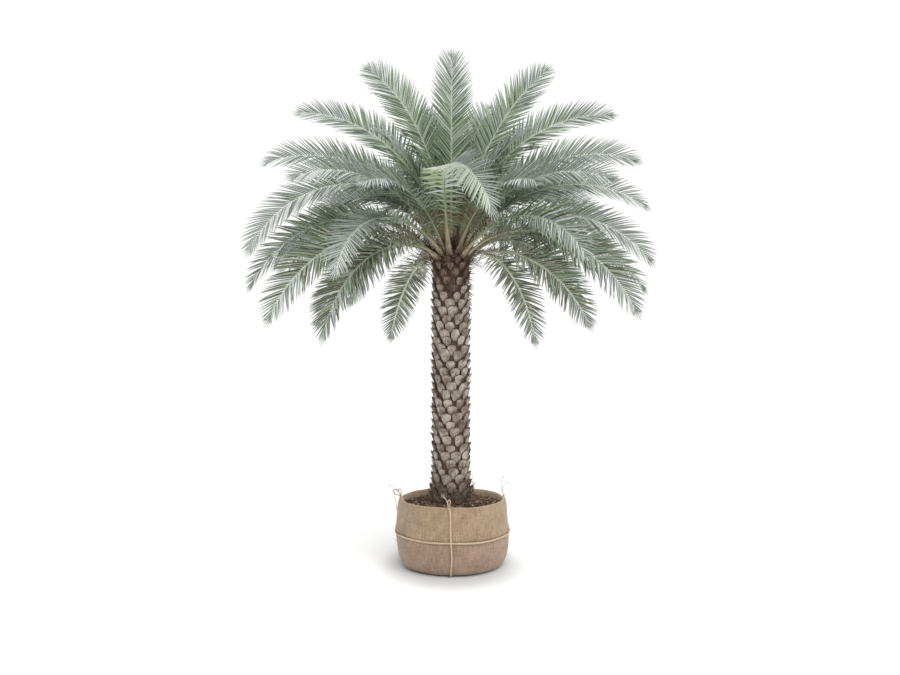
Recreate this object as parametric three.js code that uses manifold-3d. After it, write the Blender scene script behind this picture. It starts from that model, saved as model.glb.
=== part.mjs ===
// Sylvester palm on its burlapped root ball: a stout trunk clad in old leaf bases, a crown of
// arching feather fronds, and a ball of soil tied up in burlap with jute rope.
// Units are millimetres, +Z is up, and the origin is the centre of the root ball's flat underside.
// +X is to the right of the viewer and -Y is the viewer's side.
import * as THREE from "three";
import { mergeVertices } from "three/addons/utils/BufferGeometryUtils.js";
import Module from "manifold-3d";

const wasm = await Module();
wasm.setup();

// Driving dimensions
const CLEARANCE = 0.3; // gap kept between pieces that rest on each other
const SEED = 20;
const SEED_STEP = 97; // from one frond to the next

// Root ball: the burlap's outside as [radius, height], from the edge of the flat underside to the rim
const BURLAP_OUTSIDE = [
  [430, 0],
  [496, 26],
  [528, 100],
  [543, 195],
  [546, 300],
  [538, 430],
  [526, 562],
  [511, 614],
  [500, 632],
];
const [RIM_RADIUS, RIM_HEIGHT] = BURLAP_OUTSIDE.at(-1);
const BALL_SIDES = 40;
const BALL_RINGS = 9;
const BURLAP_THICKNESS = 10;
const HEM_RADIUS = RIM_RADIUS - 2 * BURLAP_THICKNESS; // the inside of the turned-down hem
const HEM_ROLL = 6; // how far the hem's top edge rounds over
const HEM_FOOT = RIM_HEIGHT - 52;
const SOIL_HEIGHT = 588;
const SOIL_FLAT_RADIUS = 250; // the level middle that the trunk stands on
const SOIL_EDGE_HEIGHT = 572;
const SOIL_SHOULDER_HEIGHT = 520; // below this the soil fills the burlap
const TRUNK_SHIFT = -15; // the palm stands a little to the left of the ball's middle

// Jute rope round the ball
const ROPE_RADIUS = 9;
const ROPE_SIDES = 6;
const BELT_HEIGHT = 320;
const UPRIGHT_AZIMUTHS = [10, 90, 170, 270]; // degrees
const UPRIGHT_STEPS = 12;
const UPRIGHT_STANDOFF = 3; // off the cloth
const UPRIGHT_FOOT = 0.12; // where an upright starts, as a share of the burlap's outside

// Trunk: rows of diamond leaf bases on a tapering column
const TRUNK_FOOT = SOIL_HEIGHT + CLEARANCE;
const TRUNK_TOP = 2925;
const TRUNK_RADIUS = 162;
const TRUNK_FLARE = 42; // extra radius at the foot
const TRUNK_FLARE_HEIGHT = 260;
const BASES_ROUND = 9;
const BASE_ROWS = 32;
const BASE_RELIEF = 34; // how far a leaf base stands out
const FOOT_RELIEF = 16; // what the oldest bases at the foot add to that
const BASE_TIP_LIFT = 26; // how far a leaf base's point sits above its middle
const ROW_TWIST = THREE.MathUtils.degToRad(4.8);

// Crown heart: the fibrous dome that the frond stalks grow from
const HEART_FOOT = TRUNK_TOP + CLEARANCE;
const HEART_RADIUS = 190;
const HEART_HEIGHT = 300;
const HEART_SIDES = 20;
const HEART_RINGS = 8;

// Fronds
const FRONT_SHORTER = 0.2; // fronds on the viewer's side are shorter by up to this share
const STALK_WIDTH = 44;
const STALK_THICKNESS = 30;
const TIP_WIDTH = 9;
const TIP_THICKNESS = 11;
const RIB_TAPER = 0.8; // below 1, a rib thins more near its foot
const STALK_LENGTH = 430; // from the axis to the first leaflets
const STALK_STEPS = 4;
const LEAFLET_PAIRS = 16;
const LEAFLET_LENGTH = 300;
const FIRST_LEAFLET = 0.75; // the first pair's share of that length
const FULL_LENGTH_PLACE = 0.35; // where on the blade leaflets reach it
const LAST_LEAFLET_LOSS = 0.45; // what the last pair lacks of it
const LEAFLET_ANGLE = 62; // degrees from the rib, forwards
const BLADE_SWEEP = 18; // what that angle loses along the blade
const TIP_SWEEP = 24; // and what the last pairs lose more
const TIP_POWER = 8; // those pairs close up quickly
const LEAFLET_LIFT = THREE.MathUtils.degToRad(15); // how far the two rows rise into a V
const ROLL_START = 0.12; // shares of the rib between which the blade turns
const ROLL_END = 0.6;
const SPLIT_BEND = 126.5; // a frond that bends over more degrees than this is two pieces, parted at its top
const OWN_SPACE = 16; // a leaflet keeps this much nearer to its own rib than to any other
const TRUNK_SPACE = 250; // and this far from the trunk's axis

// Whorls of fronds, from the upright spear down to the oldest. rise and tip are a frond's slope where
// it starts and ends, and bend is above 1 where it bends more towards its tip; start is its height above
// the trunk's top and inset its distance from the axis there; roll is how far the blade turns on its rib,
// towards the viewer's side where it is positive; sway is how far the tip swings sideways; azimuths run
// anticlockwise from +X. Angles are in degrees.
const WHORLS = [
  { rise: 87, tip: 82, length: 1940, bend: 1.25, start: 120, inset: 20, roll: 10, azimuths: [88] },
  { rise: 79, tip: 42, length: 2110, bend: 1.25, start: 100, inset: 50, roll: 60, azimuths: [15] },
  { rise: 86, tip: 39, length: 2180, bend: 1.25, start: 100, inset: 50, roll: 60, azimuths: [152] },
  { rise: 82, tip: 42, length: 1800, bend: 1.25, start: 100, inset: 50, roll: 30, azimuths: [62, 106] },
  { rise: 78, tip: 0, length: 2190, bend: 1.25, start: 90, inset: 80, roll: 58, azimuths: [6] },
  { rise: 78, tip: 4, length: 2190, bend: 1.25, start: 90, inset: 80, roll: 58, azimuths: [168, 94] },
  { rise: 74, tip: 8, length: 1620, bend: 1.25, start: 85, inset: 80, roll: 50, azimuths: [122, 51] },
  { rise: 78, tip: 20, length: 1550, bend: 1.25, start: 85, inset: 80, roll: 40, azimuths: [222, 318] },
  { rise: 69, tip: -18, length: 2070, bend: 1.15, start: 70, inset: 110, roll: 58, azimuths: [-7, 184, 42, 129] },
  { rise: 58, tip: -70, length: 2500, bend: 1.5, start: 60, inset: 130, roll: 50, sway: 59, azimuths: [262] },
  { rise: 60, tip: -31, length: 2120, bend: 1.1, start: 60, inset: 120, roll: 58, azimuths: [9, 66, 117, 33, 144] },
  { rise: 63, tip: -24, length: 2000, bend: 1.1, start: 65, inset: 120, roll: 58, azimuths: [214, 326] },
  { rise: 60, tip: -22, length: 1800, bend: 1.1, start: 65, inset: 120, roll: 40, azimuths: [239, 301] },
  { rise: 82, tip: -62, length: 2380, bend: 0.75, start: 150, inset: 100, roll: 60, azimuths: [191, 28, 147, 71] },
  { rise: 51, tip: -50, length: 2010, bend: 1, start: 40, inset: 140, roll: 58, azimuths: [-5, 60, 100, 161] },
  { rise: 47, tip: -55, length: 2200, bend: 0.84, start: 60, inset: 150, roll: 15, sway: 26, azimuths: [232] },
  { rise: 40, tip: -44, length: 1620, bend: 0.9, start: 70, inset: 150, roll: 58, azimuths: [189] },
  { rise: 40, tip: -44, length: 1620, bend: 0.9, start: 78, inset: 150, roll: 58, azimuths: [21] },
  { rise: 43, tip: -54, length: 1950, bend: 1.1, start: 40, inset: 150, roll: 40, azimuths: [313] },
  { rise: 46, tip: -49, length: 2060, bend: 0.8, start: 30, inset: 150, roll: 58, azimuths: [11] },
  { rise: 62, tip: -61, length: 2200, bend: 0.8, start: 30, inset: 150, roll: 58, azimuths: [175] },
  { rise: 46, tip: -56, length: 1970, bend: 0.8, start: 30, inset: 150, roll: -50, azimuths: [40, 128] },
  { rise: 61, tip: -61, length: 2190, bend: 0.6, start: 20, inset: 150, roll: 58, azimuths: [-28] },
  { rise: 60, tip: -65, length: 2120, bend: 0.6, start: 20, inset: 150, roll: 58, azimuths: [203] },
  { rise: 50, tip: -68, length: 1880, bend: 0.7, start: 20, inset: 150, roll: -50, azimuths: [84, 147] },
  { rise: 42, tip: -60, length: 1720, bend: 0.6, start: 20, inset: 150, roll: -50, azimuths: [25] },
  { rise: 49, tip: -74, length: 1970, bend: 0.6, start: 20, inset: 150, roll: 25, azimuths: [221] },
  { rise: 45, tip: -69, length: 1930, bend: 0.6, start: 20, inset: 150, roll: -20, azimuths: [54] },
  { rise: 34, tip: -59, length: 1910, bend: 0.6, start: 20, inset: 150, roll: -20, azimuths: [114] },
];

// Small seeded changes from one frond to the next
const LENGTH_SPREAD = 0.01;
const SLOPE_SPREAD = 0.7; // degrees
const SWAY_SPREAD = 5; // degrees

// A repeatable stream of numbers from 0 to 1.
function randomStream(seed) {
  let state = seed >>> 0;
  return () => {
    state = (Math.imul(state, 1664525) + 1013904223) >>> 0;
    return state / 4294967296;
  };
}

const degrees = THREE.MathUtils.degToRad;
const smooth = THREE.MathUtils.smoothstep;
const mix = THREE.MathUtils.lerp;

// Materials
const plain = (color, roughness) => new THREE.MeshStandardMaterial({ color, roughness, metalness: 0 });
const leafMaterial = plain("#8d9a86", 0.6);
const trunkMaterial = plain("#7d7167", 0.9);
const fibreMaterial = plain("#4a382b", 0.95);
const burlapMaterial = plain("#a68f78", 0.95);
const soilMaterial = plain("#3f3128", 1.0);
const ropeMaterial = plain("#c8ab85", 0.9);

// A closed geometry as a solid that can be joined and cut.
function solidOf(geometry) {
  const bare = new THREE.BufferGeometry();
  bare.setAttribute("position", geometry.getAttribute("position"));
  bare.setIndex(geometry.getIndex());
  const merged = mergeVertices(bare, 1e-3);
  return new wasm.Manifold(
    new wasm.Mesh({
      numProp: 3,
      vertProperties: new Float32Array(merged.getAttribute("position").array),
      triVerts: new Uint32Array(merged.getIndex().array),
    }),
  );
}

function geometryOf(solid) {
  const mesh = solid.getMesh();
  const geometry = new THREE.BufferGeometry();
  geometry.setAttribute("position", new THREE.BufferAttribute(mesh.vertProperties, mesh.numProp));
  geometry.setIndex(new THREE.BufferAttribute(mesh.triVerts, 1));
  return geometry;
}

// A profile of (radius, height) points turned about the Z axis.
function turned(profile, sides) {
  return new THREE.LatheGeometry(profile, sides).rotateX(Math.PI / 2);
}

function named(name, geometry, material) {
  const mesh = new THREE.Mesh(geometry, material);
  mesh.name = name;
  return mesh;
}

// Root ball
const burlapCurve = new THREE.SplineCurve(BURLAP_OUTSIDE.map((pair) => new THREE.Vector2(...pair)));
const burlapOutside = burlapCurve.getPoints(BALL_RINGS);

// The burlap's inside below the soil's shoulder: the outside drawn in by the cloth and a gap.
function burlapInside(gap) {
  const inset = BURLAP_THICKNESS + gap;
  return burlapOutside
    .filter((point) => point.y < SOIL_SHOULDER_HEIGHT)
    .map((point) => new THREE.Vector2(point.x - inset, Math.max(point.y + gap, inset)));
}

function burlapWrap() {
  const profile = [
    new THREE.Vector2(0, 0),
    ...burlapOutside,
    new THREE.Vector2(HEM_RADIUS + HEM_ROLL, RIM_HEIGHT - HEM_ROLL),
    new THREE.Vector2(HEM_RADIUS, HEM_FOOT),
    ...burlapInside(0).reverse(),
    new THREE.Vector2(0, BURLAP_THICKNESS),
  ];
  return named("burlap_wrap", turned(profile, BALL_SIDES), burlapMaterial);
}

function rootBallSoil() {
  const profile = [
    new THREE.Vector2(0, BURLAP_THICKNESS + CLEARANCE),
    ...burlapInside(CLEARANCE),
    new THREE.Vector2(HEM_RADIUS - CLEARANCE, HEM_FOOT - BURLAP_THICKNESS),
    new THREE.Vector2(HEM_RADIUS - CLEARANCE, SOIL_EDGE_HEIGHT),
    new THREE.Vector2(SOIL_FLAT_RADIUS, SOIL_HEIGHT),
    new THREE.Vector2(0, SOIL_HEIGHT),
  ];
  return named("root_ball_soil", turned(profile, BALL_SIDES), soilMaterial);
}

// Rope
function ropeSection() {
  const section = new THREE.Shape();
  for (let i = 0; i < ROPE_SIDES; i++) {
    const angle = (i / ROPE_SIDES) * 2 * Math.PI;
    const x = ROPE_RADIUS * Math.cos(angle);
    const y = ROPE_RADIUS * Math.sin(angle);
    if (i === 0) section.moveTo(x, y);
    else section.lineTo(x, y);
  }
  return section;
}

// The outside of the burlap at a given height.
function burlapRadiusAt(height) {
  const above = burlapOutside.findIndex((point) => point.y >= height);
  const [low, high] = [burlapOutside[above - 1], burlapOutside[above]];
  return mix(low.x, high.x, (height - low.y) / (high.y - low.y));
}

function ropeBelt() {
  const radius = burlapRadiusAt(BELT_HEIGHT) + ROPE_RADIUS + CLEARANCE;
  const profile = [];
  for (let i = 0; i <= ROPE_SIDES; i++) {
    const angle = (i / ROPE_SIDES) * 2 * Math.PI;
    const lift = ROPE_RADIUS * Math.sin(angle);
    profile.push(new THREE.Vector2(radius + ROPE_RADIUS * Math.cos(angle), BELT_HEIGHT + lift));
  }
  return turned(profile, BALL_SIDES);
}

// One rope from the ball's foot up its wall and over the rim, a rope's radius off the cloth.
function ropeUpright(azimuth) {
  const offset = ROPE_RADIUS + UPRIGHT_STANDOFF;
  const points = [];
  for (let i = 0; i <= UPRIGHT_STEPS; i++) {
    const along = mix(UPRIGHT_FOOT, 1, i / UPRIGHT_STEPS);
    const point = burlapCurve.getPoint(along);
    const tangent = burlapCurve.getTangent(along);
    const radius = point.x + tangent.y * offset;
    const height = point.y - tangent.x * offset;
    points.push(new THREE.Vector3(radius * Math.cos(azimuth), radius * Math.sin(azimuth), height));
  }
  const path = new THREE.CatmullRomCurve3(points);
  return new THREE.ExtrudeGeometry(ropeSection(), { steps: UPRIGHT_STEPS, extrudePath: path });
}

function juteRope() {
  let net = solidOf(ropeBelt());
  for (const azimuth of UPRIGHT_AZIMUTHS) net = net.add(solidOf(ropeUpright(degrees(azimuth))));
  return named("jute_rope", geometryOf(net), ropeMaterial);
}

// Trunk
function trunkRadius(height) {
  const up = (height - TRUNK_FOOT) / TRUNK_FLARE_HEIGHT;
  return TRUNK_RADIUS + TRUNK_FLARE * Math.exp(-2 * up);
}

function onTrunk(radius, angle, height) {
  return [radius * Math.cos(angle), radius * Math.sin(angle), height];
}

// Rows of points round the column, every second row turned by half a step, make diamonds. Each
// diamond is a leaf base: four faces that rise to a point above its middle.
function trunk() {
  const positions = [];
  const index = [];
  const pitch = (2 * Math.PI) / BASES_ROUND;
  const rowHeight = (TRUNK_TOP - TRUNK_FOOT) / BASE_ROWS;
  const rowAngle = (row) => row * (pitch / 2 + ROW_TWIST);
  const corner = (row, column) => row * BASES_ROUND + ((column + BASES_ROUND) % BASES_ROUND);
  for (let row = 0; row <= BASE_ROWS; row++) {
    const height = TRUNK_FOOT + row * rowHeight;
    for (let column = 0; column < BASES_ROUND; column++) {
      positions.push(...onTrunk(trunkRadius(height), column * pitch + rowAngle(row), height));
    }
  }
  const addPoint = (point) => positions.push(...point) / 3 - 1;
  for (let row = 1; row < BASE_ROWS; row++) {
    const height = TRUNK_FOOT + row * rowHeight + BASE_TIP_LIFT;
    const foot = Math.exp((-2 * (height - TRUNK_FOOT)) / TRUNK_FLARE_HEIGHT);
    const radius = trunkRadius(height) + BASE_RELIEF + FOOT_RELIEF * foot;
    for (let column = 0; column < BASES_ROUND; column++) {
      const left = corner(row, column);
      const right = corner(row, column + 1);
      const below = corner(row - 1, column + 1);
      const above = corner(row + 1, column);
      const tip = addPoint(onTrunk(radius, (column + 0.5) * pitch + rowAngle(row), height));
      index.push(left, below, tip, below, right, tip, right, above, tip, above, left, tip);
    }
  }
  const footMiddle = addPoint([0, 0, TRUNK_FOOT]);
  const topMiddle = addPoint([0, 0, TRUNK_TOP]);
  for (let column = 0; column < BASES_ROUND; column++) {
    const [a, b] = [corner(0, column), corner(0, column + 1)];
    index.push(a, b, corner(1, column), b, a, footMiddle);
    const [c, d] = [corner(BASE_ROWS, column), corner(BASE_ROWS, column + 1)];
    index.push(d, c, corner(BASE_ROWS - 1, column + 1), c, d, topMiddle);
  }
  const geometry = new THREE.BufferGeometry();
  geometry.setAttribute("position", new THREE.Float32BufferAttribute(positions, 3));
  geometry.setIndex(index);
  return named("trunk", geometry, trunkMaterial);
}

// The heart's dome, grown outwards by a margin where the stalks are cut clear of it.
function heartDome(margin) {
  const profile = [new THREE.Vector2(0, HEART_FOOT - margin)];
  for (let ring = 0; ring <= HEART_RINGS; ring++) {
    const angle = (ring / HEART_RINGS) * (Math.PI / 2);
    const radius = (HEART_RADIUS + margin) * Math.cos(angle);
    const height = HEART_FOOT - (ring === 0 ? margin : 0) + (HEART_HEIGHT + margin) * Math.sin(angle);
    profile.push(new THREE.Vector2(ring === HEART_RINGS ? 0 : radius, height));
  }
  return turned(profile, HEART_SIDES);
}

// Every frond's own values: its whorl's, with a little seeded variety.
function frondList() {
  const fronds = [];
  for (const whorl of WHORLS) {
    for (const azimuth of whorl.azimuths) {
      const random = randomStream(SEED + SEED_STEP * fronds.length);
      const spread = (amount) => amount * (2 * random() - 1);
      const facing = Math.max(0, -Math.sin(degrees(azimuth)));
      const length = whorl.length * (1 - FRONT_SHORTER * facing) * (1 + spread(LENGTH_SPREAD));
      const rise = whorl.rise + spread(SLOPE_SPREAD);
      const tip = whorl.tip + spread(SLOPE_SPREAD);
      const sway = (whorl.sway ?? 0) + spread(SWAY_SPREAD);
      const roll = degrees(whorl.roll) * Math.sign(Math.cos(degrees(azimuth + (whorl.sway ?? 0))));
      fronds.push({ ...whorl, azimuth, length, rise, tip, sway, roll });
    }
  }
  return fronds;
}

// Stations along a frond's rib: a point, the rib's direction, and the blade's own side and face.
function ribStations(frond) {
  const stations = [];
  const azimuth = degrees(frond.azimuth);
  const start = TRUNK_TOP + frond.start;
  const point = new THREE.Vector3(frond.inset * Math.cos(azimuth), frond.inset * Math.sin(azimuth), start);
  const leafy = (frond.length - STALK_LENGTH) / LEAFLET_PAIRS;
  const marks = [];
  for (let i = 0; i < STALK_STEPS; i++) marks.push((i / STALK_STEPS) * STALK_LENGTH);
  for (let i = 0; i <= LEAFLET_PAIRS; i++) marks.push(STALK_LENGTH + i * leafy);
  let reached = 0;
  for (const mark of marks) {
    const middle = (reached + mark) / 2 / frond.length;
    point.addScaledVector(ribDirection(frond, middle), mark - reached);
    reached = mark;
    const along = mark / frond.length;
    const direction = ribDirection(frond, along);
    const level = new THREE.Vector3(0, 0, 1).cross(direction).normalize();
    const up = direction.clone().cross(level);
    const roll = frond.roll * smooth(along, ROLL_START, ROLL_END);
    const side = level.clone().multiplyScalar(Math.cos(roll)).addScaledVector(up, Math.sin(roll));
    const face = direction.clone().cross(side);
    stations.push({ point: point.clone(), direction, side, face, along });
  }
  return stations;
}

function ribDirection(frond, along) {
  const slope = degrees(frond.rise + (frond.tip - frond.rise) * along ** frond.bend);
  const azimuth = degrees(frond.azimuth + frond.sway * along * along);
  const out = Math.cos(slope);
  return new THREE.Vector3(out * Math.cos(azimuth), out * Math.sin(azimuth), Math.sin(slope));
}

// A leaflet's length by its place on the blade, from the first pair (0) to the last (1).
function leafletLength(place) {
  const foot = mix(FIRST_LEAFLET, 1, smooth(place, 0, FULL_LENGTH_PLACE));
  return LEAFLET_LENGTH * foot * (1 - LAST_LEAFLET_LOSS * place ** 6);
}

function distanceToRib(point, stations) {
  let nearest = Infinity;
  const line = new THREE.Line3();
  const close = new THREE.Vector3();
  for (let i = 1; i < stations.length; i++) {
    line.set(stations[i - 1].point, stations[i].point);
    line.closestPointToPoint(point, true, close);
    nearest = Math.min(nearest, close.distanceTo(point));
  }
  return nearest;
}

// A leaflet keeps to its own space when points along it lie nearer to its rib than to any other.
function keepsOwnSpace(root, tip, own, ribs) {
  for (const share of [0.35, 0.6, 0.8, 1]) {
    const point = root.clone().lerp(tip, share);
    const inTrunkReach = point.z < TRUNK_TOP + HEART_HEIGHT;
    if (inTrunkReach && Math.hypot(point.x, point.y) < TRUNK_SPACE) return false;
    const reach = distanceToRib(point, own) + OWN_SPACE;
    if (ribs.some((rib) => rib !== own && distanceToRib(point, rib) < reach)) return false;
  }
  return true;
}

// The tip of one leaflet, drawn in until it keeps to its own space.
function leafletTip(stations, pair, hand, ribs) {
  const here = stations[STALK_STEPS + pair];
  const next = stations[STALK_STEPS + pair + 1];
  const place = pair / (LEAFLET_PAIRS - 1);
  const root = here.point.clone().lerp(next.point, 0.5);
  const angle = degrees(LEAFLET_ANGLE - BLADE_SWEEP * place - TIP_SWEEP * place ** TIP_POWER);
  const outward = here.side.clone().multiplyScalar(hand * Math.cos(LEAFLET_LIFT));
  outward.addScaledVector(here.face, Math.sin(LEAFLET_LIFT));
  const along = here.direction.clone().multiplyScalar(Math.cos(angle));
  along.addScaledVector(outward, Math.sin(angle));
  let tip = root;
  for (let share = 1; share > 0.1; share -= 0.1) {
    tip = root.clone().addScaledVector(along, share * leafletLength(place));
    if (keepsOwnSpace(root, tip, stations, ribs)) break;
  }
  return tip;
}

// A frond, or the stretch of it between two stations: a thin blade round its rib, with a tooth for
// each leaflet cut back to the rib.
function frondSolid(stations, ribs, from, to) {
  const positions = [];
  const index = [];
  const addPoint = (point) => positions.push(point.x, point.y, point.z) / 3 - 1;
  const width = (along) => mix(STALK_WIDTH, TIP_WIDTH, along ** RIB_TAPER);
  const thickness = (along) => mix(STALK_THICKNESS, TIP_THICKNESS, along ** RIB_TAPER);
  const quad = (a, b, c, d) => index.push(a, b, c, a, c, d);
  const spike = (ring, tip) => ring.forEach((point, k) => index.push(point, ring[(k + 1) % 4], tip));
  // a station's four corners: left and right, over and under
  const cornersAt = (i) => {
    const { point, direction, side, face, along } = stations[i];
    const middle = point.clone();
    if (i === from && i > 0) middle.addScaledVector(direction, CLEARANCE);
    const corner = (hand, top) => {
      const place = middle.clone().addScaledVector(side, (hand * width(along)) / 2);
      return addPoint(place.addScaledVector(face, (top * thickness(along)) / 2));
    };
    return { lo: corner(1, 1), lu: corner(1, -1), ro: corner(-1, 1), ru: corner(-1, -1) };
  };
  const first = cornersAt(from);
  quad(first.ru, first.ro, first.lo, first.lu);
  let a = first;
  for (let i = from + 1; i <= to; i++) {
    const b = cornersAt(i);
    quad(a.ro, b.ro, b.lo, a.lo);
    quad(a.lu, b.lu, b.ru, a.ru);
    const pair = i - 1 - STALK_STEPS;
    if (pair < 0) {
      quad(a.lo, b.lo, b.lu, a.lu);
      quad(a.ru, b.ru, b.ro, a.ro);
    } else {
      spike([a.lo, b.lo, b.lu, a.lu], addPoint(leafletTip(stations, pair, 1, ribs)));
      spike([a.ru, b.ru, b.ro, a.ro], addPoint(leafletTip(stations, pair, -1, ribs)));
    }
    a = b;
  }
  if (to === stations.length - 1) {
    const { point, direction } = stations[to];
    const tip = point.clone().addScaledVector(direction, 0.5 * leafletLength(1));
    spike([a.ru, a.lu, a.lo, a.ro], addPoint(tip));
  } else {
    quad(a.ru, a.lu, a.lo, a.ro);
  }
  const geometry = new THREE.BufferGeometry();
  geometry.setAttribute("position", new THREE.Float32BufferAttribute(positions, 3));
  geometry.setIndex(index);
  return solidOf(geometry);
}

// The station where a frond stops rising.
function topStation(stations) {
  return stations.findIndex(({ direction }) => direction.z < 0);
}

function crown() {
  const group = new THREE.Group();
  const fronds = frondList();
  const ribs = fronds.map(ribStations);
  const heart = solidOf(heartDome(CLEARANCE));
  ribs.forEach((stations, i) => {
    const name = `frond_${String(i + 1).padStart(2, "0")}`;
    const end = stations.length - 1;
    const split = fronds[i].rise - fronds[i].tip > SPLIT_BEND ? topStation(stations) : end;
    const inner = frondSolid(stations, ribs, 0, split).subtract(heart);
    group.add(named(name, geometryOf(inner), leafMaterial));
    if (split < end) {
      const outer = frondSolid(stations, ribs, split, end);
      group.add(named(`${name}_tip`, geometryOf(outer), leafMaterial));
    }
  });
  group.add(named("crown_heart", heartDome(0), fibreMaterial));
  return group;
}

const palm = new THREE.Group();
const stem = new THREE.Group();
stem.add(trunk(), crown());
stem.position.x = TRUNK_SHIFT;
palm.add(burlapWrap(), rootBallSoil(), juteRope(), stem);

export default palm;
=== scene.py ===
# %% [markdown]
# # A sylvester palm on its burlapped root ball
# The CAD model gives this palm its true sizes: a straight trunk of old leaf bases, a full round
# crown of feather fronds, and a root ball in burlap tied with jute rope. This lesson dresses it.
# Every piece is mesh code in metres, in the frame that the CAD model was packed in, so a piece
# that repeats a CAD size lands where the CAD solid stands.

# %% Load the frame
import math

import bpy
import numpy as np
from mathutils.kdtree import KDTree
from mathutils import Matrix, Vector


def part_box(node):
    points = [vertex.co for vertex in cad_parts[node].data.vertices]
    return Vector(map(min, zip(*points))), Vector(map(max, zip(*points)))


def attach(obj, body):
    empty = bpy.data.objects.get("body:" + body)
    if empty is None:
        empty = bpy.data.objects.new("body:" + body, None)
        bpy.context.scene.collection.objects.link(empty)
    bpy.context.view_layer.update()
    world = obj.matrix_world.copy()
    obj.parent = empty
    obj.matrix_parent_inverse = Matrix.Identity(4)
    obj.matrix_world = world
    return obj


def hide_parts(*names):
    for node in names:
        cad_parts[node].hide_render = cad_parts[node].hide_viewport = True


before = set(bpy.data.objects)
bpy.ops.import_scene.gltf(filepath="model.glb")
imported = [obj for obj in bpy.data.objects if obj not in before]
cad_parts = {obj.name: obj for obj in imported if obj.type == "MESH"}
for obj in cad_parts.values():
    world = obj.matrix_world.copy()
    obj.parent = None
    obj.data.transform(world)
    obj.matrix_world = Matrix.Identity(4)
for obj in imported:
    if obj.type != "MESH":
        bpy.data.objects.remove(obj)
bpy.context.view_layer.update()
TRUNK_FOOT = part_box("trunk")[0].z
TRUNK_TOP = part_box("trunk")[1].z
SOIL_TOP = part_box("root_ball_soil")[1].z
heart_low, heart_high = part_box("crown_heart")
STEM = np.array([(heart_low.x + heart_high.x) / 2, 0, 0])  # the trunk stands off the ball's middle
SEED = 20  # the CAD source's own, because its fronds are laid out again below
rng = np.random.default_rng(SEED)

# %% [markdown]
# ## Colour and nodes
# Colours are easy to read off a picture as sRGB hex, but a shader wants linear light, so one
# function converts them all. A second adds a node to a tree, with its settings and its sockets,
# so that a finish below reads as a list of what feeds what. Most dull natural surfaces are dark
# in their hollows and pale on their ridges, so a third lays two tones over a pattern: where the
# same pattern also raises the surface, its dark tone is painted shade in the hollows.


# %% Helpers for finishes
def linear(hex_colour):
    """An sRGB hex colour as linear RGBA."""
    channels = [int(hex_colour[i : i + 2], 16) / 255 for i in (1, 3, 5)]
    return [c / 12.92 if c <= 0.04045 else ((c + 0.055) / 1.055) ** 2.4 for c in channels] + [1.0]


def add_node(tree, kind, inputs=None, **settings):
    """Adds one node. Each of its inputs is a value, or the output of another node."""
    node = tree.nodes.new("ShaderNode" + kind)
    for name, value in settings.items():
        setattr(node, name, value)
    for name, value in (inputs or {}).items():
        if isinstance(value, bpy.types.NodeSocket):
            tree.links.new(value, node.inputs[name])
        else:
            node.inputs[name].default_value = value
    return node


def new_finish(name, colour, roughness, **sockets):
    """A material with one Principled shader. Gives the material, its node tree and the shader."""
    material = bpy.data.materials.new(name)
    material.use_nodes = True
    tree = material.node_tree
    shader = tree.nodes["Principled BSDF"]
    shader.inputs["Base Color"].default_value = linear(colour)
    shader.inputs["Roughness"].default_value = roughness
    for socket, value in sockets.items():
        shader.inputs[socket.replace("_", " ")].default_value = value
    return material, tree, shader


MIX_A, MIX_B, MIX_COLOUR = 6, 7, 2  # the Mix node's two colour inputs and its colour output


# where one pattern both colours and raises a finish, its dark tone in the hollows is painted shade
def lay_pattern(tree, shader, shade, span, dark, pale, height, strength, distance):
    """Colours a finish from dark to pale over a span of one pattern, and raises it by another."""
    share = add_node(tree, "MapRange", {"Value": shade, "From Min": span[0], "From Max": span[1]})
    tones = {"Factor": share.outputs["Result"], MIX_A: linear(dark), MIX_B: linear(pale)}
    colour = add_node(tree, "Mix", tones, data_type="RGBA")
    tree.links.new(colour.outputs[MIX_COLOUR], shader.inputs["Base Color"])
    bump = add_node(tree, "Bump", {"Height": height, "Strength": strength, "Distance": distance})
    tree.links.new(bump.outputs["Normal"], shader.inputs["Normal"])


def per_metre(millimetres):
    """The texture scale at which one cell of a noise is this long."""
    return 1000 / millimetres


def waves_per_metre(millimetres):
    """The texture scale at which one wave is this long: the wave node counts 20 radians a unit."""
    return 1000 / millimetres * 2 * math.pi / 20


# %% [markdown]
# ## Meshes from grids
# Leaflets, ribs, leaf bases, ropes and cloth are all grids of points bent into shape, so one
# function numbers a grid's triangles and another sweeps a ring along a path. A heap gathers the
# many small grids of one piece, because one mesh of ten thousand leaflets is quick to draw and
# ten thousand objects are not.


# %% Helpers for vectors
def unit(vectors):
    return vectors / np.linalg.norm(vectors, axis=-1, keepdims=True)


def mix(a, b, share):
    return a + (b - a) * share


def smoothstep(x, low, high):
    t = np.clip((x - low) / (high - low), 0, 1)
    return t * t * (3 - 2 * t)


def ring_turns(corners):
    """The angles of corners spread evenly round a ring."""
    return np.arange(corners) / corners * 2 * np.pi


def outwards(angle, up=0.0):
    """A level direction, or one that also rises or falls."""
    return np.array([math.cos(angle), math.sin(angle), up])


# %% Helpers for meshes
def grid_faces(rows, columns, closed):
    """Triangles of a grid of points, joined round from the last column to the first if closed."""
    across = np.arange(columns if closed else columns - 1)
    down = np.arange(rows - 1)[:, None] * columns
    a, b = down + across, down + (across + 1) % columns
    c, d = b + columns, a + columns
    pairs = np.stack([np.stack([a, b, c], -1), np.stack([a, c, d], -1)], 2)
    return pairs.reshape(-1, 3)


def cap_faces(rings, corners):
    """Triangles that close a tube's first and last ring."""
    fan = np.stack([np.zeros(corners - 2, int), np.arange(2, corners), np.arange(1, corners - 1)], -1)
    return np.concatenate([fan, fan[:, ::-1] + (rings - 1) * corners])


def tube_faces(rings, corners):
    """Triangles of a tube's wall, and then of its two ends."""
    return np.concatenate([grid_faces(rings, corners, True), cap_faces(rings, corners)])


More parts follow.
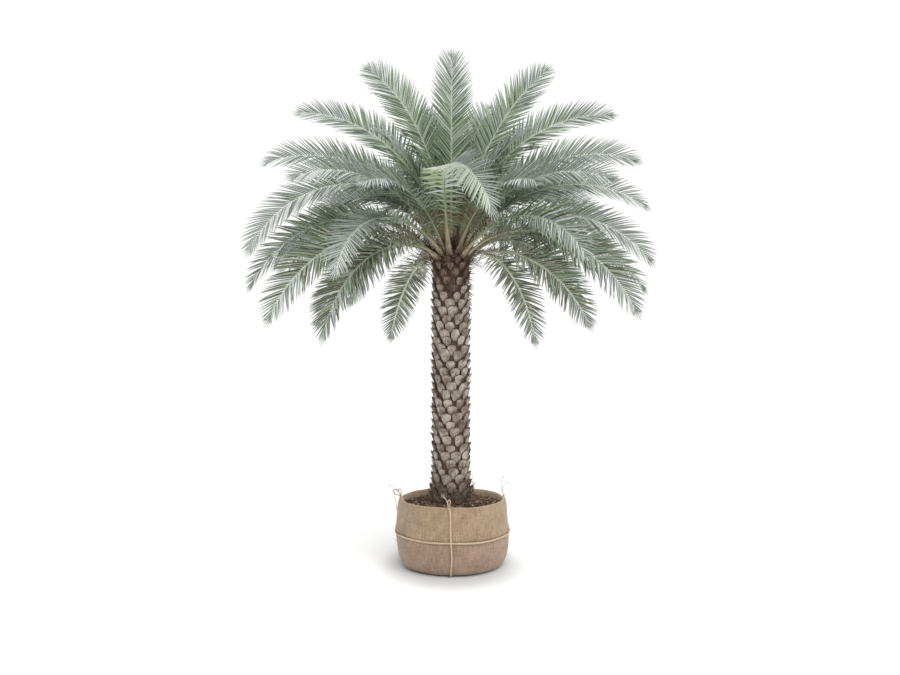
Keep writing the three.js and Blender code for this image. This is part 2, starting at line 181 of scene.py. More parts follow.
class Heap:
    """Points and triangles of many small meshes, gathered for one piece."""

    def __init__(self):
        self.points, self.faces, self.kinds, self.uv, self.count = [], [], [], [], 0

    def add(self, points, faces, kind=0, uv=None):
        points = np.asarray(points).reshape(-1, 3)
        self.points.append(points)
        self.faces.append(np.asarray(faces) + self.count)
        self.kinds.append(np.broadcast_to(kind, len(faces)))
        self.uv.append(np.zeros((len(points), 2)) if uv is None else np.asarray(uv).reshape(-1, 2))
        self.count += len(points)


def make_piece(name, heap, finishes, nodes, smooth=True):
    """A mesh object of the heap, riding on the root in place of the CAD nodes named."""
    points, faces = np.concatenate(heap.points), np.concatenate(heap.faces)
    mesh = bpy.data.meshes.new(name)
    mesh.from_pydata(points, [], faces)
    for finish in finishes:
        mesh.materials.append(finish)
    mesh.polygons.foreach_set("material_index", np.concatenate(heap.kinds).astype(np.int32))
    mesh.polygons.foreach_set("use_smooth", np.full(len(faces), smooth))
    layer = mesh.uv_layers.new(name="UVMap")
    layer.data.foreach_set("uv", np.concatenate(heap.uv)[faces.ravel()].astype(np.float32).ravel())
    mesh.validate()
    piece = bpy.data.objects.new(name, mesh)
    bpy.context.scene.collection.objects.link(piece)
    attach(piece, "root")
    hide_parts(*nodes)
    print(name, len(faces), "triangles")


# %% A tube along a path
RING_START = np.array([0.31, 0.17, 0.94])  # a direction along which no path here sets out


def tube(path, radius, sides):
    """A tube along a path, capped. The radius is one number, one per point, or one per corner."""
    path = np.asarray(path, float)
    ahead = unit(np.gradient(path, axis=0))
    carried = np.cross(ahead[0], RING_START)
    across = []
    for direction in ahead:
        carried = unit(carried - direction * carried.dot(direction))
        across.append(carried)
    across = np.array(across)[:, None]
    turn = ring_turns(sides)[:, None]
    ring = across * np.cos(turn) + np.cross(ahead, across[:, 0])[:, None] * np.sin(turn)
    radius = np.asarray(radius, float)
    radius = radius if radius.ndim == 2 else radius.reshape(-1, 1)
    points = path[:, None] + ring * np.broadcast_to(radius, (len(path), sides))[..., None]
    return points, tube_faces(len(path), sides)


# %% [markdown]
# ## Where the fronds grow
# A palm has one bud, and each frond leaves it a little lower and further out than the one after
# it. The CAD source writes that as whorls: how steeply a frond rises, how steeply its tip falls,
# how long it is and which way it points. The same rule and the same stream of random numbers are
# written again here, so that each fine frond lies in the place of its plain one.

# %% The whorls
STALK_LENGTH = 0.43  # from the axis to the first leaflets
FRONT_SHORTER = 0.2  # fronds on the viewer's side are shorter by up to this share
LENGTH_SPREAD, SLOPE_SPREAD, SWAY_SPREAD = 0.01, 0.7, 5
SEED_STEP = 97  # from one frond to the next
STREAM_FACTOR, STREAM_STEP, STREAM_SIZE = 1664525, 1013904223, 2**32
WHORL_KEYS = ("rise", "tip", "length", "bend", "start", "inset", "roll", "sway", "azimuths")
WHORLS = (
    (87, 82, 1.94, 1.25, 0.120, 0.02, 10, 0, (88,)),
    (79, 42, 2.11, 1.25, 0.100, 0.05, 60, 0, (15,)),
    (86, 39, 2.18, 1.25, 0.100, 0.05, 60, 0, (152,)),
    (82, 42, 1.80, 1.25, 0.100, 0.05, 30, 0, (62, 106)),
    (78, 0, 2.19, 1.25, 0.090, 0.08, 58, 0, (6,)),
    (78, 4, 2.19, 1.25, 0.090, 0.08, 58, 0, (168, 94)),
    (74, 8, 1.62, 1.25, 0.085, 0.08, 50, 0, (122, 51)),
    (78, 20, 1.55, 1.25, 0.085, 0.08, 40, 0, (222, 318)),
    (69, -18, 2.07, 1.15, 0.070, 0.11, 58, 0, (-7, 184, 42, 129)),
    (58, -70, 2.50, 1.50, 0.060, 0.13, 50, 59, (262,)),
    (60, -31, 2.12, 1.10, 0.060, 0.12, 58, 0, (9, 66, 117, 33, 144)),
    (63, -24, 2.00, 1.10, 0.065, 0.12, 58, 0, (214, 326)),
    (60, -22, 1.80, 1.10, 0.065, 0.12, 40, 0, (239, 301)),
    (82, -62, 2.38, 0.75, 0.150, 0.10, 60, 0, (191, 28, 147, 71)),
    (51, -50, 2.01, 1.00, 0.040, 0.14, 58, 0, (-5, 60, 100, 161)),
    (47, -55, 2.20, 0.84, 0.060, 0.15, 15, 26, (232,)),
    (40, -44, 1.62, 0.90, 0.070, 0.15, 58, 0, (189,)),
    (40, -44, 1.62, 0.90, 0.078, 0.15, 58, 0, (21,)),
    (43, -54, 1.95, 1.10, 0.040, 0.15, 40, 0, (313,)),
    (46, -49, 2.06, 0.80, 0.030, 0.15, 58, 0, (11,)),
    (62, -61, 2.20, 0.80, 0.030, 0.15, 58, 0, (175,)),
    (46, -56, 1.97, 0.80, 0.030, 0.15, -50, 0, (40, 128)),
    (61, -61, 2.19, 0.60, 0.020, 0.15, 58, 0, (-28,)),
    (60, -65, 2.12, 0.60, 0.020, 0.15, 58, 0, (203,)),
    (50, -68, 1.88, 0.70, 0.020, 0.15, -50, 0, (84, 147)),
    (42, -60, 1.72, 0.60, 0.020, 0.15, -50, 0, (25,)),
    (49, -74, 1.97, 0.60, 0.020, 0.15, 25, 0, (221,)),
    (45, -69, 1.93, 0.60, 0.020, 0.15, -20, 0, (54,)),
    (34, -59, 1.91, 0.60, 0.020, 0.15, -20, 0, (114,)),
)


def random_stream(seed):
    """The CAD source's own repeatable numbers from 0 to 1."""
    state = seed
    while True:
        state = (state * STREAM_FACTOR + STREAM_STEP) % STREAM_SIZE
        yield state / STREAM_SIZE


def frond_list():
    fronds = []
    for row in WHORLS:
        whorl = dict(zip(WHORL_KEYS, row))
        for azimuth in whorl["azimuths"]:
            stream = random_stream(SEED + SEED_STEP * len(fronds))
            length, rise, tip, sway = (2 * next(stream) - 1 for _ in range(4))
            facing = max(0, -math.sin(math.radians(azimuth)))
            frond = dict(whorl, azimuth=azimuth, number=len(fronds) + 1)
            frond["length"] *= (1 - FRONT_SHORTER * facing) * (1 + LENGTH_SPREAD * length)
            frond["rise"] += SLOPE_SPREAD * rise
            frond["tip"] += SLOPE_SPREAD * tip
            frond["sway"] += SWAY_SPREAD * sway
            heading = math.radians(azimuth + whorl["sway"])
            frond["roll"] = math.radians(whorl["roll"]) * np.sign(math.cos(heading))
            fronds.append(frond)
    return fronds


FRONDS = frond_list()
print(len(FRONDS), "fronds in", len(WHORLS), "whorls")

# %% The ribs
RIB_STEPS = 72
ROLL_START, ROLL_END = 0.12, 0.6  # shares of the rib between which the blade turns


def rib_direction(frond, along):
    slope = np.radians(frond["rise"] + (frond["tip"] - frond["rise"]) * along ** frond["bend"])
    azimuth = np.radians(frond["azimuth"] + frond["sway"] * along**2)
    level = np.cos(slope)
    return np.stack([level * np.cos(azimuth), level * np.sin(azimuth), np.sin(slope)], -1)


def rib_frames(frond):
    """Points along a rib, with its direction and the blade's own side and face at each."""
    along = np.linspace(0, 1, RIB_STEPS + 1)
    steps = rib_direction(frond, (along[1:] + along[:-1]) / 2) * frond["length"] / RIB_STEPS
    inset = frond["inset"] * outwards(math.radians(frond["azimuth"]))
    foot = STEM + inset + [0, 0, TRUNK_TOP + frond["start"]]
    points = foot + np.concatenate([np.zeros((1, 3)), np.cumsum(steps, axis=0)])
    direction = rib_direction(frond, along)
    level = unit(np.cross([0, 0, 1], direction))
    up = np.cross(direction, level)
    roll = (frond["roll"] * smoothstep(along, ROLL_START, ROLL_END))[:, None]
    side = level * np.cos(roll) + up * np.sin(roll)
    face = np.cross(direction, side)
    return {"along": along, "point": points, "direction": direction, "side": side, "face": face}


def at_along(ribs, key, along):
    """One of the rib's vectors, read between its points."""
    return np.stack([np.interp(along, ribs["along"], ribs[key][:, i]) for i in range(3)], -1)


def axes_at(ribs, along):
    """The rib's direction and the blade's side and face, read between the rib's points."""
    return (unit(at_along(ribs, key, along)) for key in ("direction", "side", "face"))


RIBS = [rib_frames(frond) for frond in FRONDS]
print("the ribs' highest point", round(max(ribs["point"][:, 2].max() for ribs in RIBS), 3))

# %% [markdown]
# ## The frond ribs
# A frond's stalk is broad, flat and khaki where it clasps the bud. Past the first leaflets it is
# a thin green rib that pales to a chalky grey at the tip. Its colours also hold painted light: a
# paler khaki at the foot as a painted highlight, and a darker olive as painted shade where the first
# leaflets crowd it. A ring swept along each rib gives the taper. The colour steps from one plain
# finish to the next at a place that differs on every frond, so no band shows across the crown.

# %% Finishes of the ribs
# the rib's colours from foot to tip: its own khaki, green and grey, with a painted highlight at the foot and
# painted shade in the olive among the leaflets
STALK_COLOURS = ("#a0957b", "#90876b", "#818162", "#7d8765", "#a2aa94", "#c8cdc5")
STREAK_MM = 6


def stalk_finish(number, colour):
    """A smooth waxed stalk: a soft sheen, with fine streaks along it."""
    material, tree, shader = new_finish(f"palm stalk {number}", colour, 0.5)
    place = add_node(tree, "TexCoord").outputs["Object"]
    streaks = add_node(tree, "TexNoise", {"Vector": place, "Scale": per_metre(STREAK_MM), "Detail": 4.0})
    height = streaks.outputs["Fac"]
    bump = add_node(tree, "Bump", {"Height": height, "Strength": 0.25, "Distance": 0.001})
    tree.links.new(bump.outputs["Normal"], shader.inputs["Normal"])
    return material


STALK_FINISHES = [stalk_finish(i + 1, colour) for i, colour in enumerate(STALK_COLOURS)]
print(len(STALK_FINISHES), "finishes along a rib")

# %% Sweep the ribs
RIB_WIDTH, RIB_TIP_WIDTH = 0.042, 0.004
RIB_THICKNESS, RIB_TIP_THICKNESS = 0.026, 0.005
CLASP_WIDTH, CLASP_THICKNESS, CLASP_REACH = 0.056, 0.018, 0.20  # the foot's flare round the bud
RIB_TAPER = 0.26  # less than 1 thins the rib early
RIB_SIDES = 8
FLAT_ABOVE, FLATNESS = 0.5, 0.55  # the ring's upper part is pressed to this share of its height
STALK_ENDS = np.array([0.05, 0.13, 0.24, 0.45, 0.75, 1.0])  # share of the rib where each colour stops
STALK_END_SPREAD = (0.85, 1.0)
FROND_NODES = sorted(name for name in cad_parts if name.startswith("frond_"))


def rib_size(frond, along, middle, tip, clasp):
    flare = clasp * np.exp(-along * frond["length"] / CLASP_REACH)
    return tip + (middle - tip) * (1 - along**RIB_TAPER) + flare


rib_heap = Heap()
for frond, ribs in zip(FRONDS, RIBS):
    along = ribs["along"]
    width = rib_size(frond, along, RIB_WIDTH, RIB_TIP_WIDTH, CLASP_WIDTH)
    thickness = rib_size(frond, along, RIB_THICKNESS, RIB_TIP_THICKNESS, CLASP_THICKNESS)
    turn = ring_turns(RIB_SIDES)[:, None]
    flat = np.where(np.sin(turn) > FLAT_ABOVE, FLATNESS, 1.0)
    across = ribs["side"][:, None] * np.cos(turn) * (width[:, None, None] / 2)
    ring = across + ribs["face"][:, None] * np.sin(turn) * flat * (thickness[:, None, None] / 2)
    section = np.searchsorted(STALK_ENDS * rng.uniform(*STALK_END_SPREAD), along[:-1])
    wall_kinds = np.repeat(np.clip(section, 0, len(STALK_ENDS) - 1), RIB_SIDES * 2)
    faces = tube_faces(len(along), RIB_SIDES)
    kinds = np.concatenate([wall_kinds, np.zeros(len(faces) - len(wall_kinds), int)])
    rib_heap.add(ribs["point"][:, None] + ring, faces, kinds)
make_piece("frond_ribs", rib_heap, STALK_FINISHES, FROND_NODES)

# %% [markdown]
# ## The leaflets
# Each leaflet is a stiff blade, folded to a V along its middle, broadest a third of the way out
# and drawn to a sharp point. Leaflets could be instances or hair, but as one mesh they keep their
# own length, fold and droop, and travel with the model. The rows rise into a shallow V, and
# neighbours leave the rib at slightly different angles, which makes the crown look soft.

# %% Finishes of the leaflets
LEAF_COLOURS = {  # each leaflet's bright half, and its dark half painted with the fold's shade
    "silver": ("#c7cbc6", "#787f79"),
    "ash": ("#b6bcb5", "#69726a"),
    "sage": ("#a3af99", "#5d6c5a"),
    "green": ("#87987a", "#57694f"),
    "olive": ("#90947f", "#444936"),
    "dry": ("#7d7656", "#544e38"),
    "young": ("#9fad88", "#889873"),
    # the fan's pale tint holds painted light
    "pale": ("#cbd1c4", "#8d9684"),
}
FOOT_COLOUR = "#b2baa7"  # the pale swelling where a leaflet meets the rib
SPINE_COLOUR = "#84835c"
VEIN_MM = 18.85  # the broad ridge of each half; the fine veins are too small to show


def leaf_finish(name, colour):
    """A waxy leaf: one grey-green all over it, a soft sheen, and ridges that run its length."""
    material, tree, shader = new_finish(f"palm leaflet {name}", colour, 0.48)
    place = add_node(tree, "UVMap", uv_map="UVMap").outputs["UV"]
    ridges = {"Vector": place, "Scale": waves_per_metre(VEIN_MM), "Distortion": 0.4}
    veins = add_node(tree, "TexWave", ridges, bands_direction="X")
    height = veins.outputs["Fac"]
    bump = add_node(tree, "Bump", {"Height": height, "Strength": 0.12, "Distance": 0.0006})
    tree.links.new(bump.outputs["Normal"], shader.inputs["Normal"])
    return material


LEAF_FINISHES = [leaf_finish(f"{name} bright", pair[0]) for name, pair in LEAF_COLOURS.items()]
LEAF_FINISHES += [leaf_finish(f"{name} dark", pair[1]) for name, pair in LEAF_COLOURS.items()]
LEAF_FINISHES += [leaf_finish("foot", FOOT_COLOUR), leaf_finish("spine", SPINE_COLOUR)]
TINTS = len(LEAF_COLOURS)
SILVER, ASH, SAGE, GREEN, OLIVE, DRY, YOUNG, PALE = range(TINTS)
FOOT_KIND, SPINE_KIND = 2 * TINTS, 2 * TINTS + 1
print(len(LEAF_FINISHES), "finishes of leaflets")

# %% A folded blade
BLADE_PLACES = np.array([0, 0.03, 0.16, 0.33, 0.54, 0.74, 0.9, 1.0])
BLADE_WIDTHS = np.array([0.72, 0.88, 1.0, 1.0, 0.84, 0.57, 0.28, 0.02])
FOOT_ROWS = 1  # rows of faces that belong to the pale foot


def blade_mesh(root, axis, normal, length, width, droop, fold):
    """Folded blades, one for each row of the arrays. Gives points, faces and uv."""
    place = BLADE_PLACES[None, :, None]
    sag = np.array([0, 0, -1.0]) - axis * (-axis[:, 2:])
    bend = axis[:, None] * place + (sag * droop[:, None])[:, None] * place**2
    line = root[:, None] + length[:, None, None] * bend
    half = (width[:, None] * BLADE_WIDTHS / 2)[..., None]
    across = np.cross(axis, normal)[:, None]
    open_way = across * np.cos(fold)[:, None, None]
    rise = (normal * np.sin(fold)[:, None])[:, None] * half
    left = np.stack([line, line - open_way * half + rise], 2)
    right = np.stack([line + open_way * half + rise, line], 2)
    points = np.stack([left, right], 1)
    rows = len(BLADE_PLACES)
    one = grid_faces(rows, 2, False)
    halves = np.concatenate([one[:, ::-1], one[:, ::-1] + rows * 2])
    faces = halves[None] + (np.arange(len(root)) * rows * 4)[:, None, None]
    u = np.stack([np.zeros_like(half), -half, half, np.zeros_like(half)], 2)[..., 0]
    u = u.reshape(len(root), rows, 2, 2).transpose(0, 2, 1, 3)
    v = np.broadcast_to((length[:, None] * BLADE_PLACES)[:, None, :, None], u.shape)
    return points, faces.reshape(-1, 3), np.stack([u, v], -1)


# %% [markdown]
# ## Laying the leaflets
# A row of leaflets is worked out all at once, as arrays. Its place runs from 0 at the first full
# leaflet to 1 at the rib's end, and length, width and angle are curves over that place. The
# newest fronds have closer leaflets, the oldest have broader ones in more disorder, and one frond
# opens like a fan towards the viewer, so the curves have their own values for those.

# %% Where the leaflets sit and how long they are
LEAFLET_SPACING, LEAFLET_LENGTH, LEAFLET_WIDTH = 0.0225, 0.28, 0.0240
YOUNG_FRONDS = 16  # so many of the newest count as young
OLD_SPAN = (0.6, 0.8)  # shares of all the fronds between which they grow old
YOUNG_SPACING, OLD_SPACING = 0.80, 0.98  # as shares of the usual spacing
INNER_CROWDING = 0.5  # near the stalk leaflets stand closer
STAGGER, STEP_SPREAD = 0.25, 0.1  # shares of a step between the two rows, and within one
FIRST_PLACE = 0.25  # short leaflets start this far from the axis
STALK_LEAFLET, STALK_SPAN = 0.5, (-0.12, 0.02)  # their share of the length, and where it grows to 1
FIRST_LEAFLET, FULL_LENGTH_PLACE, LAST_LEAFLET_LOSS = 0.75, 0.35, 0.62
TIP_POWER = 10  # the last pairs shorten and close up quickly


def youth_of(frond):
    """1 on the newest frond, falling to 0 on the last of the young ones."""
    return 1 - smoothstep(frond["number"], 1, YOUNG_FRONDS)


def wear_of(frond):
    """0 on most fronds, rising to 1 on the oldest."""
    return smoothstep(frond["number"] / len(FRONDS), *OLD_SPAN)


def leaflet_places(frond, hand):
    """Where the leaflets of one row sit. Places below 0 are on the stalk."""
    spacing = LEAFLET_SPACING * mix(mix(1, YOUNG_SPACING, youth_of(frond)), OLD_SPACING, wear_of(frond))
    count = round((frond["length"] - FIRST_PLACE) / spacing * (1 + INNER_CROWDING / 2))
    steps = np.arange(count) + 0.5 + STAGGER * hand + rng.uniform(-STEP_SPREAD, STEP_SPREAD, count)
    share = np.clip(steps / count, 0, 1)
    start = -(STALK_LENGTH - FIRST_PLACE) / (frond["length"] - STALK_LENGTH)
    return mix(start, 1, share * (1 - INNER_CROWDING) + INNER_CROWDING * share**2)


def leaflet_length(place):
    foot = mix(FIRST_LEAFLET, 1, smoothstep(place, 0, FULL_LENGTH_PLACE))
    short = mix(STALK_LEAFLET, 1, smoothstep(place, *STALK_SPAN))
    return LEAFLET_LENGTH * foot * short * (1 - LAST_LEAFLET_LOSS * np.abs(place) ** TIP_POWER)


# %% How the leaflets stand off the rib
FAN, BROAD = 262, 232  # azimuths of the two fronds that lean out to the viewer and catch the light; both are painted paler as well
YOUNG_ANGLE, LEAFLET_ANGLE, FAN_ANGLE = 55, 54, 92  # degrees from the rib
BLADE_SWEEP, FAN_SWEEP = 14, 50  # what is lost of that along the blade
TIP_SWEEP = 22  # and at its very end
YOUNG_BLADE_SWEEP, YOUNG_TIP_SWEEP = 1.4, 0.6  # shares of those losses on the newest frond
YOUNG_BREADTH, GROWN_BREADTH, OLD_BREADTH = 0.98, 1.02, 1.12
INNER_WIDTH = 0.4  # near the stalk leaflets are narrower
WIDENING, FAN_WIDENING = (-0.05, 0.35), (0.1, 0.2)  # places between which they widen
FAN_PATCH, FAN_PATCH_BREADTH = 0.38, 1.35  # the fan's left row is broader up to this place


def leaflet_sweep(frond, place):
    """How many degrees the leaflets stand off the rib."""
    youth = youth_of(frond)
    sweep = mix(LEAFLET_ANGLE, YOUNG_ANGLE, youth) - BLADE_SWEEP * place * mix(1, YOUNG_BLADE_SWEEP, youth)
    if frond["azimuth"] == FAN:
        sweep = FAN_ANGLE - FAN_SWEEP * place
    return sweep - TIP_SWEEP * mix(1, YOUNG_TIP_SWEEP, youth) * np.abs(place) ** TIP_POWER


def leaflet_breadth(frond, place, hand):
    """The leaflets' widths as shares of the usual one."""
    breadth = mix(mix(GROWN_BREADTH, YOUNG_BREADTH, youth_of(frond)), OLD_BREADTH, wear_of(frond))
    if frond["azimuth"] == FAN:
        patch = np.where((place < FAN_PATCH) & (hand < 0), FAN_PATCH_BREADTH, 1)
        return breadth * mix(INNER_WIDTH, 1, smoothstep(place, *FAN_WIDENING)) * patch
    return breadth * mix(INNER_WIDTH, 1, smoothstep(place, *WIDENING))


def rib_flank(frond, ribs, along, side, share):
    """Points on a rib's flank, at a share of its half width."""
    half_rib = rib_size(frond, along, RIB_WIDTH, RIB_TIP_WIDTH, CLASP_WIDTH)[:, None] / 2
    return at_along(ribs, "point", along) + side * half_rib * share


def square_to(axis, face):
    """The blades' faces, turned square to their axes."""
    return unit(face - axis * (face * axis).sum(1, keepdims=True))


# %% A row of leaflets
INNER_SPAN = (0.05, 0.55)  # places between which the stalk's disorder fades
OUTER_SPREAD, INNER_SPREAD, OLD_SPREAD = 2.0, 7, 2.2  # degrees of disorder outside, inside, with age
LEAFLET_LIFT, LIFT_SPREAD = 15, 1.5  # degrees that a row rises off the blade's plane
FAN_LIFTS = ((-20, 10), (38, 14))  # the fan's right and left row, from the inner end to the tip
FAN_LIFT_SPAN = (0.3, 0.9)
RANKS = np.array([0, -1, 1, 0.3])  # neighbours in a row leave the rib at these steps of lift
INNER_RANK_LIFT, RANK_LIFT = 26, 3  # degrees a step, near the stalk and beyond the blade's middle
TWIST, TWIST_SPREAD = 6, 4
YOUNG_GROWTH, OLD_GROWTH, FAN_GROWTH = 0.1, 0.13, 0.84  # two additions to a length, and a share of it
OLD_TAPER, TAPER_SPAN = 0.22, (0.45, 1)  # old leaflets shorten by this share towards the tip
ROOT_SHARE = 0.7  # a leaflet starts at this share of the rib's half width
LEAFLET_LENGTH_SPREAD, LEAFLET_WIDTH_SPREAD = 0.04, 0.08
TIP_WIDTH, TIP_WIDTH_POWER = 0.65, 4  # the last ones are this narrow
DROOP, DROOP_SPREAD = 0.05, 0.03
FOLD, FOLD_SPREAD = 34, 4


def leaflet_row(frond, ribs, hand):
    """One row of leaflets on one side of a rib."""
    place = leaflet_places(frond, hand)
    count, wear, fan = len(place), wear_of(frond), frond["azimuth"] == FAN
    along = (STALK_LENGTH + place * (frond["length"] - STALK_LENGTH)) / frond["length"]
    direction, side, face = axes_at(ribs, along)
    inner = 1 - smoothstep(place, *INNER_SPAN)
    spread = mix(OUTER_SPREAD, INNER_SPREAD, inner) + OLD_SPREAD * wear
    angle = np.radians(leaflet_sweep(frond, place) + rng.normal(0, 1, count) * spread)[:, None]
    rank = RANKS[np.arange(count) % len(RANKS)] * mix(RANK_LIFT, INNER_RANK_LIFT, inner)
    row_lift = mix(*FAN_LIFTS[hand < 0], smoothstep(place, *FAN_LIFT_SPAN)) if fan else LEAFLET_LIFT
    lift = np.radians(row_lift + rank + rng.normal(0, LIFT_SPREAD, count))[:, None]
    outward = hand * np.cos(lift) * side + np.sin(lift) * face
    axis = unit(np.cos(angle) * direction + np.sin(angle) * outward)
    twist = np.radians(rng.normal(TWIST * hand, TWIST_SPREAD, count))[:, None]
    normal = square_to(axis, face)
    normal = normal * np.cos(twist) + np.cross(axis, normal) * np.sin(twist)
    growth = FAN_GROWTH if fan else 1 + YOUNG_GROWTH * youth_of(frond) + OLD_GROWTH * wear
    length = leaflet_length(place) * growth * (1 - OLD_TAPER * wear * smoothstep(place, *TAPER_SPAN))
    width = LEAFLET_WIDTH * leaflet_breadth(frond, place, hand)
    tip_narrowing = mix(1, TIP_WIDTH, place**TIP_WIDTH_POWER)
    return {
        "root": rib_flank(frond, ribs, along, side * hand, ROOT_SHARE),
        "axis": axis,
        "normal": normal,
        "length": length * rng.normal(1, LEAFLET_LENGTH_SPREAD, count),
        "width": width * rng.normal(1, LEAFLET_WIDTH_SPREAD, count) * tip_narrowing,
        "droop": np.abs(rng.normal(DROOP, DROOP_SPREAD, count)),
        "fold": np.radians(rng.normal(FOLD, FOLD_SPREAD, count)),
        "place": place,
    }


# %% The frond's tip and the stalk's spines
TIP_FAN = np.array([-30, -20, -10, 0, 10, 20, 30])  # degrees off the rib's line, at its very end
TIP_LENGTH, TIP_LOSS = 0.150, 0.35  # of its middle leaflet, and the share that the outermost lose
TIP_FAN_WIDTH, TIP_DROOP = LEAFLET_WIDTH * 0.6, 0.02
SPINES = 7
SPINE_SPAN = (0.42, 0.72)  # shares of the stalk's length
SPINE_LENGTHS, SPINE_LENGTH_SPREAD = (0.035, 0.12), 0.1
SPINE_AHEAD, SPINE_ASIDE, SPINE_UP, SPINE_SPREAD = 0.75, 0.6, 0.2, 0.1  # the way that one points
SPINE_ROOT_SHARE, SPINE_WIDTH, SPINE_FOLD = 0.85, 0.008, 50


def tip_leaflets(ribs):
    """The last leaflets, a small fan that rounds the frond's end."""
    count = len(TIP_FAN)
    angle = np.radians(TIP_FAN)[:, None]
    return {
        "root": np.repeat(ribs["point"][-1:], count, axis=0),
        "axis": ribs["direction"][-1] * np.cos(angle) + ribs["side"][-1] * np.sin(angle),
        "normal": np.repeat(ribs["face"][-1:], count, axis=0),
        "length": TIP_LENGTH * (1 - TIP_LOSS * np.abs(TIP_FAN) / TIP_FAN[-1]),
        "width": np.full(count, TIP_FAN_WIDTH),
        "droop": np.full(count, TIP_DROOP),
        "fold": np.full(count, math.radians(FOLD)),
    }


def spine_row(frond, ribs, hand):
    """The lowest leaflets, hardened to spines."""
    share = np.linspace(0, 1, SPINES)
    along = mix(*SPINE_SPAN, share) * STALK_LENGTH / frond["length"]
    direction, side, face = axes_at(ribs, along)
    aim = SPINE_AHEAD * direction + SPINE_ASIDE * hand * side
    axis = unit(aim + rng.normal(0, SPINE_SPREAD, (SPINES, 1)) * face + SPINE_UP * face)
    return {
        "root": rib_flank(frond, ribs, along, side * hand, SPINE_ROOT_SHARE),
        "axis": axis,
        "normal": square_to(axis, face),
        "length": mix(*SPINE_LENGTHS, share) * rng.normal(1, SPINE_LENGTH_SPREAD, SPINES),
        "width": np.full(SPINES, SPINE_WIDTH),
        "droop": np.zeros(SPINES),
        "fold": np.full(SPINES, math.radians(SPINE_FOLD)),
    }


# %% [markdown]
# ## Room for the leaflets
# Leaflets of a real crown push past each other, but none grows through a stalk or into the trunk.
# A tree of the ribs' points finds what is near a blade, and a blade in the way is drawn in.

# %% Keep leaflets off other ribs and the trunk
RIB_SPACE = 0.022
TRUNK_SPACE, TRUNK_SPACE_TOP = 0.25, 0.2  # radius kept clear, up to this far above the trunk
TEST_SHARES = (0.45, 0.7, 1.0)  # places on a blade that are tested
LENGTH_SHARES = np.arange(1, 0.35, -0.1)  # lengths that are tried

rib_tree = KDTree(sum(len(ribs["point"]) for ribs in RIBS))
for number, ribs in enumerate(RIBS):
    for point in ribs["point"]:
        rib_tree.insert(point, number)
rib_tree.balance()


def in_the_way(point, own):
    """True where a leaflet would run into another frond's rib or into the trunk."""
    low = point[2] < TRUNK_TOP + TRUNK_SPACE_TOP
    if low and math.hypot(point[0] - STEM[0], point[1]) < TRUNK_SPACE:
        return True
    return any(number != own for _, number, _ in rib_tree.find_range(point, RIB_SPACE))


def fit_lengths(leaflets, own):
    """Draws leaflets in by tenths until they clear what is near them."""
    for i, (root, axis) in enumerate(zip(leaflets["root"], leaflets["axis"])):
        for share in LENGTH_SHARES:
            reach = leaflets["length"][i] * share
            if not any(in_the_way(root + axis * reach * test, own) for test in TEST_SHARES):
                break
        leaflets["length"][i] *= share


# %% [markdown]
# ## Colouring the leaflets
# A palm's leaflets are green and bare near the bud and silver with wax further out, and the oldest
# fronds fade to olive. A texture could blend that, but the model keeps plain colours best, so each
# leaflet is dealt one of a few tints by a tone that rises outwards, with a little chance. The tones
# also hold painted light: painted shade inside the crown and on the oldest fronds, and paler tints on
# fronds that catch the light. The half of a blade that looks back to the stalk lies in its fold's
# shade, which is painted on it as the tint's dark twin.

# %% Deal out the tints
# the tints from the crown's inside outwards: partly the leaflets' own green and silver, partly painted shade
# that darkens the inner ones
TINTS_OUTWARDS = np.array([GREEN, SAGE, ASH, SILVER])
TINT_ENDS = np.array([0.30, 0.58, 0.90])  # the tone where each gives way to the next
TONE_RISE, TONE_DROP, TONE_SPREAD = 0.92, 0.10, 0.12  # tone along a blade: its slope, start and chance
GROWN_TONE, GROWN_SPAN = 0.32, (0.0, 0.3)  # added as fronds grow up, between these ages
UPPER_TONE, UPPER_SPAN = 0.10, (0.05, 0.3)  # painted light and shade between the rows: the row that is rolled upwards is paler
# painted light: the broad frond is dealt paler tints further out, as it catches the light
BROAD_TONE, BROAD_SPAN = 0.10, (0.2, 0.5)
AGED, AGED_SHADE_TONE, FADED = 0.62, 0.40, 0.8  # from this age fronds darken with painted shade, and most green turns olive
FAN_START, FAN_YOUNG_END = 0.2, 0.42  # places between which the fan's left row is young green
DRY_SHARE, DRY_SPAN = 0.6, (-0.14, 0.02)  # of the leaflets nearest to the stalk
TURNED, TURNED_ABOVE = 0.45, 0.3  # shares of the leaflets in a lower row, and above it, whose painted shade moves to the other half


